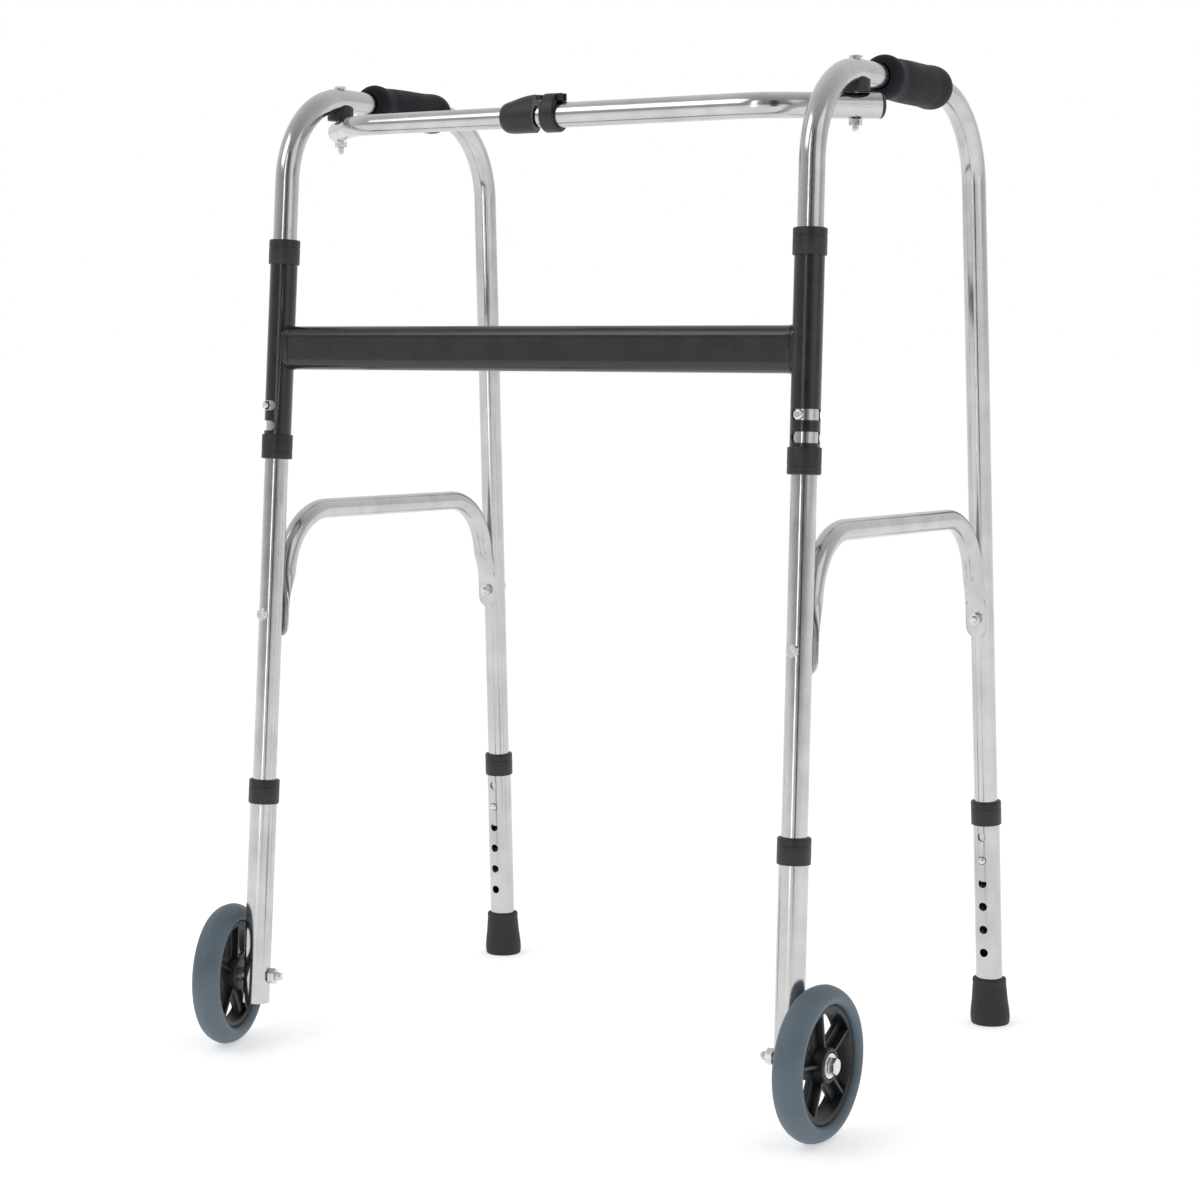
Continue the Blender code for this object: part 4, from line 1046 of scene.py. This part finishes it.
def build_side(side):
    name = side_name(side)
    bar_r = THICK_BAR_R if side > 0 else THIN_BAR_R
    build_side_tube(side)
    build_grip(side)
    build_brace(side)
    build_brace_hardware(side)
    build_pivot_bolt(side, bar_r)
    build_stud(side)
    build_bar(side, bar_r, THICK_BAR_END_X if side > 0 else THIN_BAR_END_X)
    build_bar_plug(side, bar_r)
    build_spacer(side, bar_r)
    build_collar(name + "_upper_collar", front_leg, side, UPPER_COLLAR_Z, SLEEVE_R)
    build_collar(name + "_lower_collar", front_leg, side, LOWER_COLLAR_Z, SLEEVE_R, False)
    seat = COLLAR_LENGTH - COLLAR_LIP - GAP
    legs = (("front", front_leg, FRONT_COLLAR_Z, FRONT_EXTENSION_END_Z, FRONT_TOP_HOLE_Z, pi),
            ("rear", rear_leg, REAR_COLLAR_Z, REAR_EXTENSION_END_Z, REAR_TOP_HOLE_Z, 0.0))
    for place, leg, collar_z, end_z, hole_z, angle in legs:
        node = f"{name}_{place}_extension"
        build_extension(node, leg, side, (end_z, collar_z + seat), hole_z, angle,
                        place == "front")
        build_collar(node + "_collar", leg, side, collar_z, EXTENSION_R)
        build_snap_button(f"{name}_{place}_snap_button", leg, side,
                          hole_z - BUTTON_HOLE * HOLE_PITCH, place == "rear")
    build_rubber_tip(side)
    build_tyre(side)
    build_hub(side)
    build_axle(side)


build_cross_frame()
for side in (-1, 1):
    build_side(side)
build_clip()


# ---------------------------------------------------------------- studio

WORLD_BEHIND = 0.82      # world strength behind the frame and towards the camera
WORLD_FRONT = 0.27
TOWARDS_CAMERA = (0.51, -0.86, 0.0)
FLOOR_SIZE = 60.0
FLOOR_Z = -0.0002
FLOOR_GLOW = 0.47
AIM = (0.0, 0.0, 0.45)   # the middle of the frame
KEY_LIGHT = ((1.6, 1.6), 16.0, (-1.2, -2.2, 2.6))     # size, power and place
FILL_LIGHT = ((2.0, 2.0), 8.0, (2.6, -0.6, 1.6))
CARD_DISTANCE = 3.0
CARD_HEIGHT = 1.25
DARK_CARD = ((0.55, 3.4), 33.0)      # size and azimuth in degrees
BRIGHT_CARD = ((0.30, 3.4), 6.0)
STRIP_GLOW = 2.6

CAMERA_PLACE = (1.2962, -2.1934, 0.6927)
CAMERA_AZIMUTH = 32.072
CAMERA_PITCH = 6.099
CAMERA_ROLL = -0.3354
SENSOR_WIDTH = 36.0
LENS = 80.73
CAMERA_SHIFT = (0.03176, -0.00094)


def plain_material(name, colour, roughness=0.9, emission=0.0):
    material, _, shader = node_material(name, colour, roughness)
    if emission:
        shader.inputs["Emission Color"].default_value = (*colour, 1.0)
        shader.inputs["Emission Strength"].default_value = emission
    return material


def stage_plane(name, size, place, turn, material):
    """A flat stage panel of (width, height), facing +Z before it is turned."""
    bm = bmesh.new()
    bmesh.ops.create_grid(bm, x_segments=1, y_segments=1, size=0.5)
    bmesh.ops.transform(bm, matrix=Matrix.Diagonal((*size, 1.0, 1.0)), verts=bm.verts)
    panel = from_bmesh(bm)
    panel.name = name
    panel.data.materials.append(material)
    panel.location = place
    panel.rotation_euler = turn
    return panel


def reflection_card(name, size, azimuth, material):
    """An upright panel round the frame that only shows in its reflections."""
    angle = radians(azimuth)
    place = (CARD_DISTANCE * sin(angle), -CARD_DISTANCE * cos(angle), CARD_HEIGHT)
    card = stage_plane(name, size, place, (pi / 2, 0, angle), material)
    card.visible_camera = False
    card.visible_diffuse = False
    card.visible_shadow = False
    return card


def area_light(name, size, power, place):
    """A soft rectangular light aimed at the middle of the frame."""
    light = bpy.data.lights.new(name, "AREA")
    light.shape = "RECTANGLE"
    light.size, light.size_y = size
    light.energy = power
    obj = bpy.data.objects.new(name, light)
    obj.location = place
    obj.rotation_euler = (Vector(AIM) - Vector(place)).to_track_quat("-Z", "Y").to_euler()
    bpy.context.scene.collection.objects.link(obj)


def studio_world():
    """White behind the frame and dimmer towards the camera, where tubes mirror it."""
    world = bpy.data.worlds.new("studio")
    bpy.context.scene.world = world
    world.use_nodes = True
    tree = world.node_tree
    background = tree.nodes["Background"]
    direction = tree.nodes.new("ShaderNodeTexCoord")
    towards = tree.nodes.new("ShaderNodeVectorMath")
    towards.operation = "DOT_PRODUCT"
    towards.inputs[1].default_value = TOWARDS_CAMERA
    tree.links.new(direction.outputs["Generated"], towards.inputs[0])
    grade = tree.nodes.new("ShaderNodeMapRange")
    grade.inputs["From Min"].default_value = -0.6
    grade.inputs["From Max"].default_value = 1.0
    grade.inputs["To Min"].default_value = WORLD_BEHIND
    grade.inputs["To Max"].default_value = WORLD_FRONT
    tree.links.new(towards.outputs["Value"], grade.inputs["Value"])
    path = tree.nodes.new("ShaderNodeLightPath")
    seen = tree.nodes.new("ShaderNodeMix")
    tree.links.new(path.outputs["Is Camera Ray"], seen.inputs["Factor"])
    tree.links.new(grade.outputs["Result"], seen.inputs["A"])
    seen.inputs["B"].default_value = 1.0
    tree.links.new(seen.outputs["Result"], background.inputs["Strength"])
    background.inputs["Color"].default_value = (1.0, 1.0, 1.0, 1.0)


def build_stage():
    floor = plain_material("floor", (0.93, 0.93, 0.93), emission=FLOOR_GLOW)
    stage_plane("floor", (FLOOR_SIZE, FLOOR_SIZE), (0, 0, FLOOR_Z), (0, 0, 0), floor)
    studio_world()
    area_light("key", *KEY_LIGHT)
    area_light("fill", *FILL_LIGHT)
    dark = plain_material("dark_card", (0.02, 0.02, 0.02))
    bright = plain_material("bright_card", (1.0, 1.0, 1.0), emission=STRIP_GLOW)
    reflection_card("dark_strip", *DARK_CARD, dark)
    reflection_card("bright_strip", *BRIGHT_CARD, bright)


def build_camera():
    """The camera stands to the front right, a little above the middle of the frame."""
    camera = bpy.data.cameras.new("camera")
    camera.sensor_width = SENSOR_WIDTH
    camera.lens = LENS
    camera.shift_x, camera.shift_y = CAMERA_SHIFT
    obj = bpy.data.objects.new("camera", camera)
    turn = Matrix.Rotation(radians(CAMERA_AZIMUTH), 4, "Z")
    turn = turn @ Matrix.Rotation(radians(90.0 - CAMERA_PITCH), 4, "X")
    turn = turn @ Matrix.Rotation(radians(CAMERA_ROLL), 4, "Z")
    obj.matrix_world = Matrix.Translation(CAMERA_PLACE) @ turn
    bpy.context.scene.collection.objects.link(obj)
    bpy.context.scene.camera = obj


build_stage()
build_camera()
bpy.context.scene.view_settings.view_transform = "Standard"
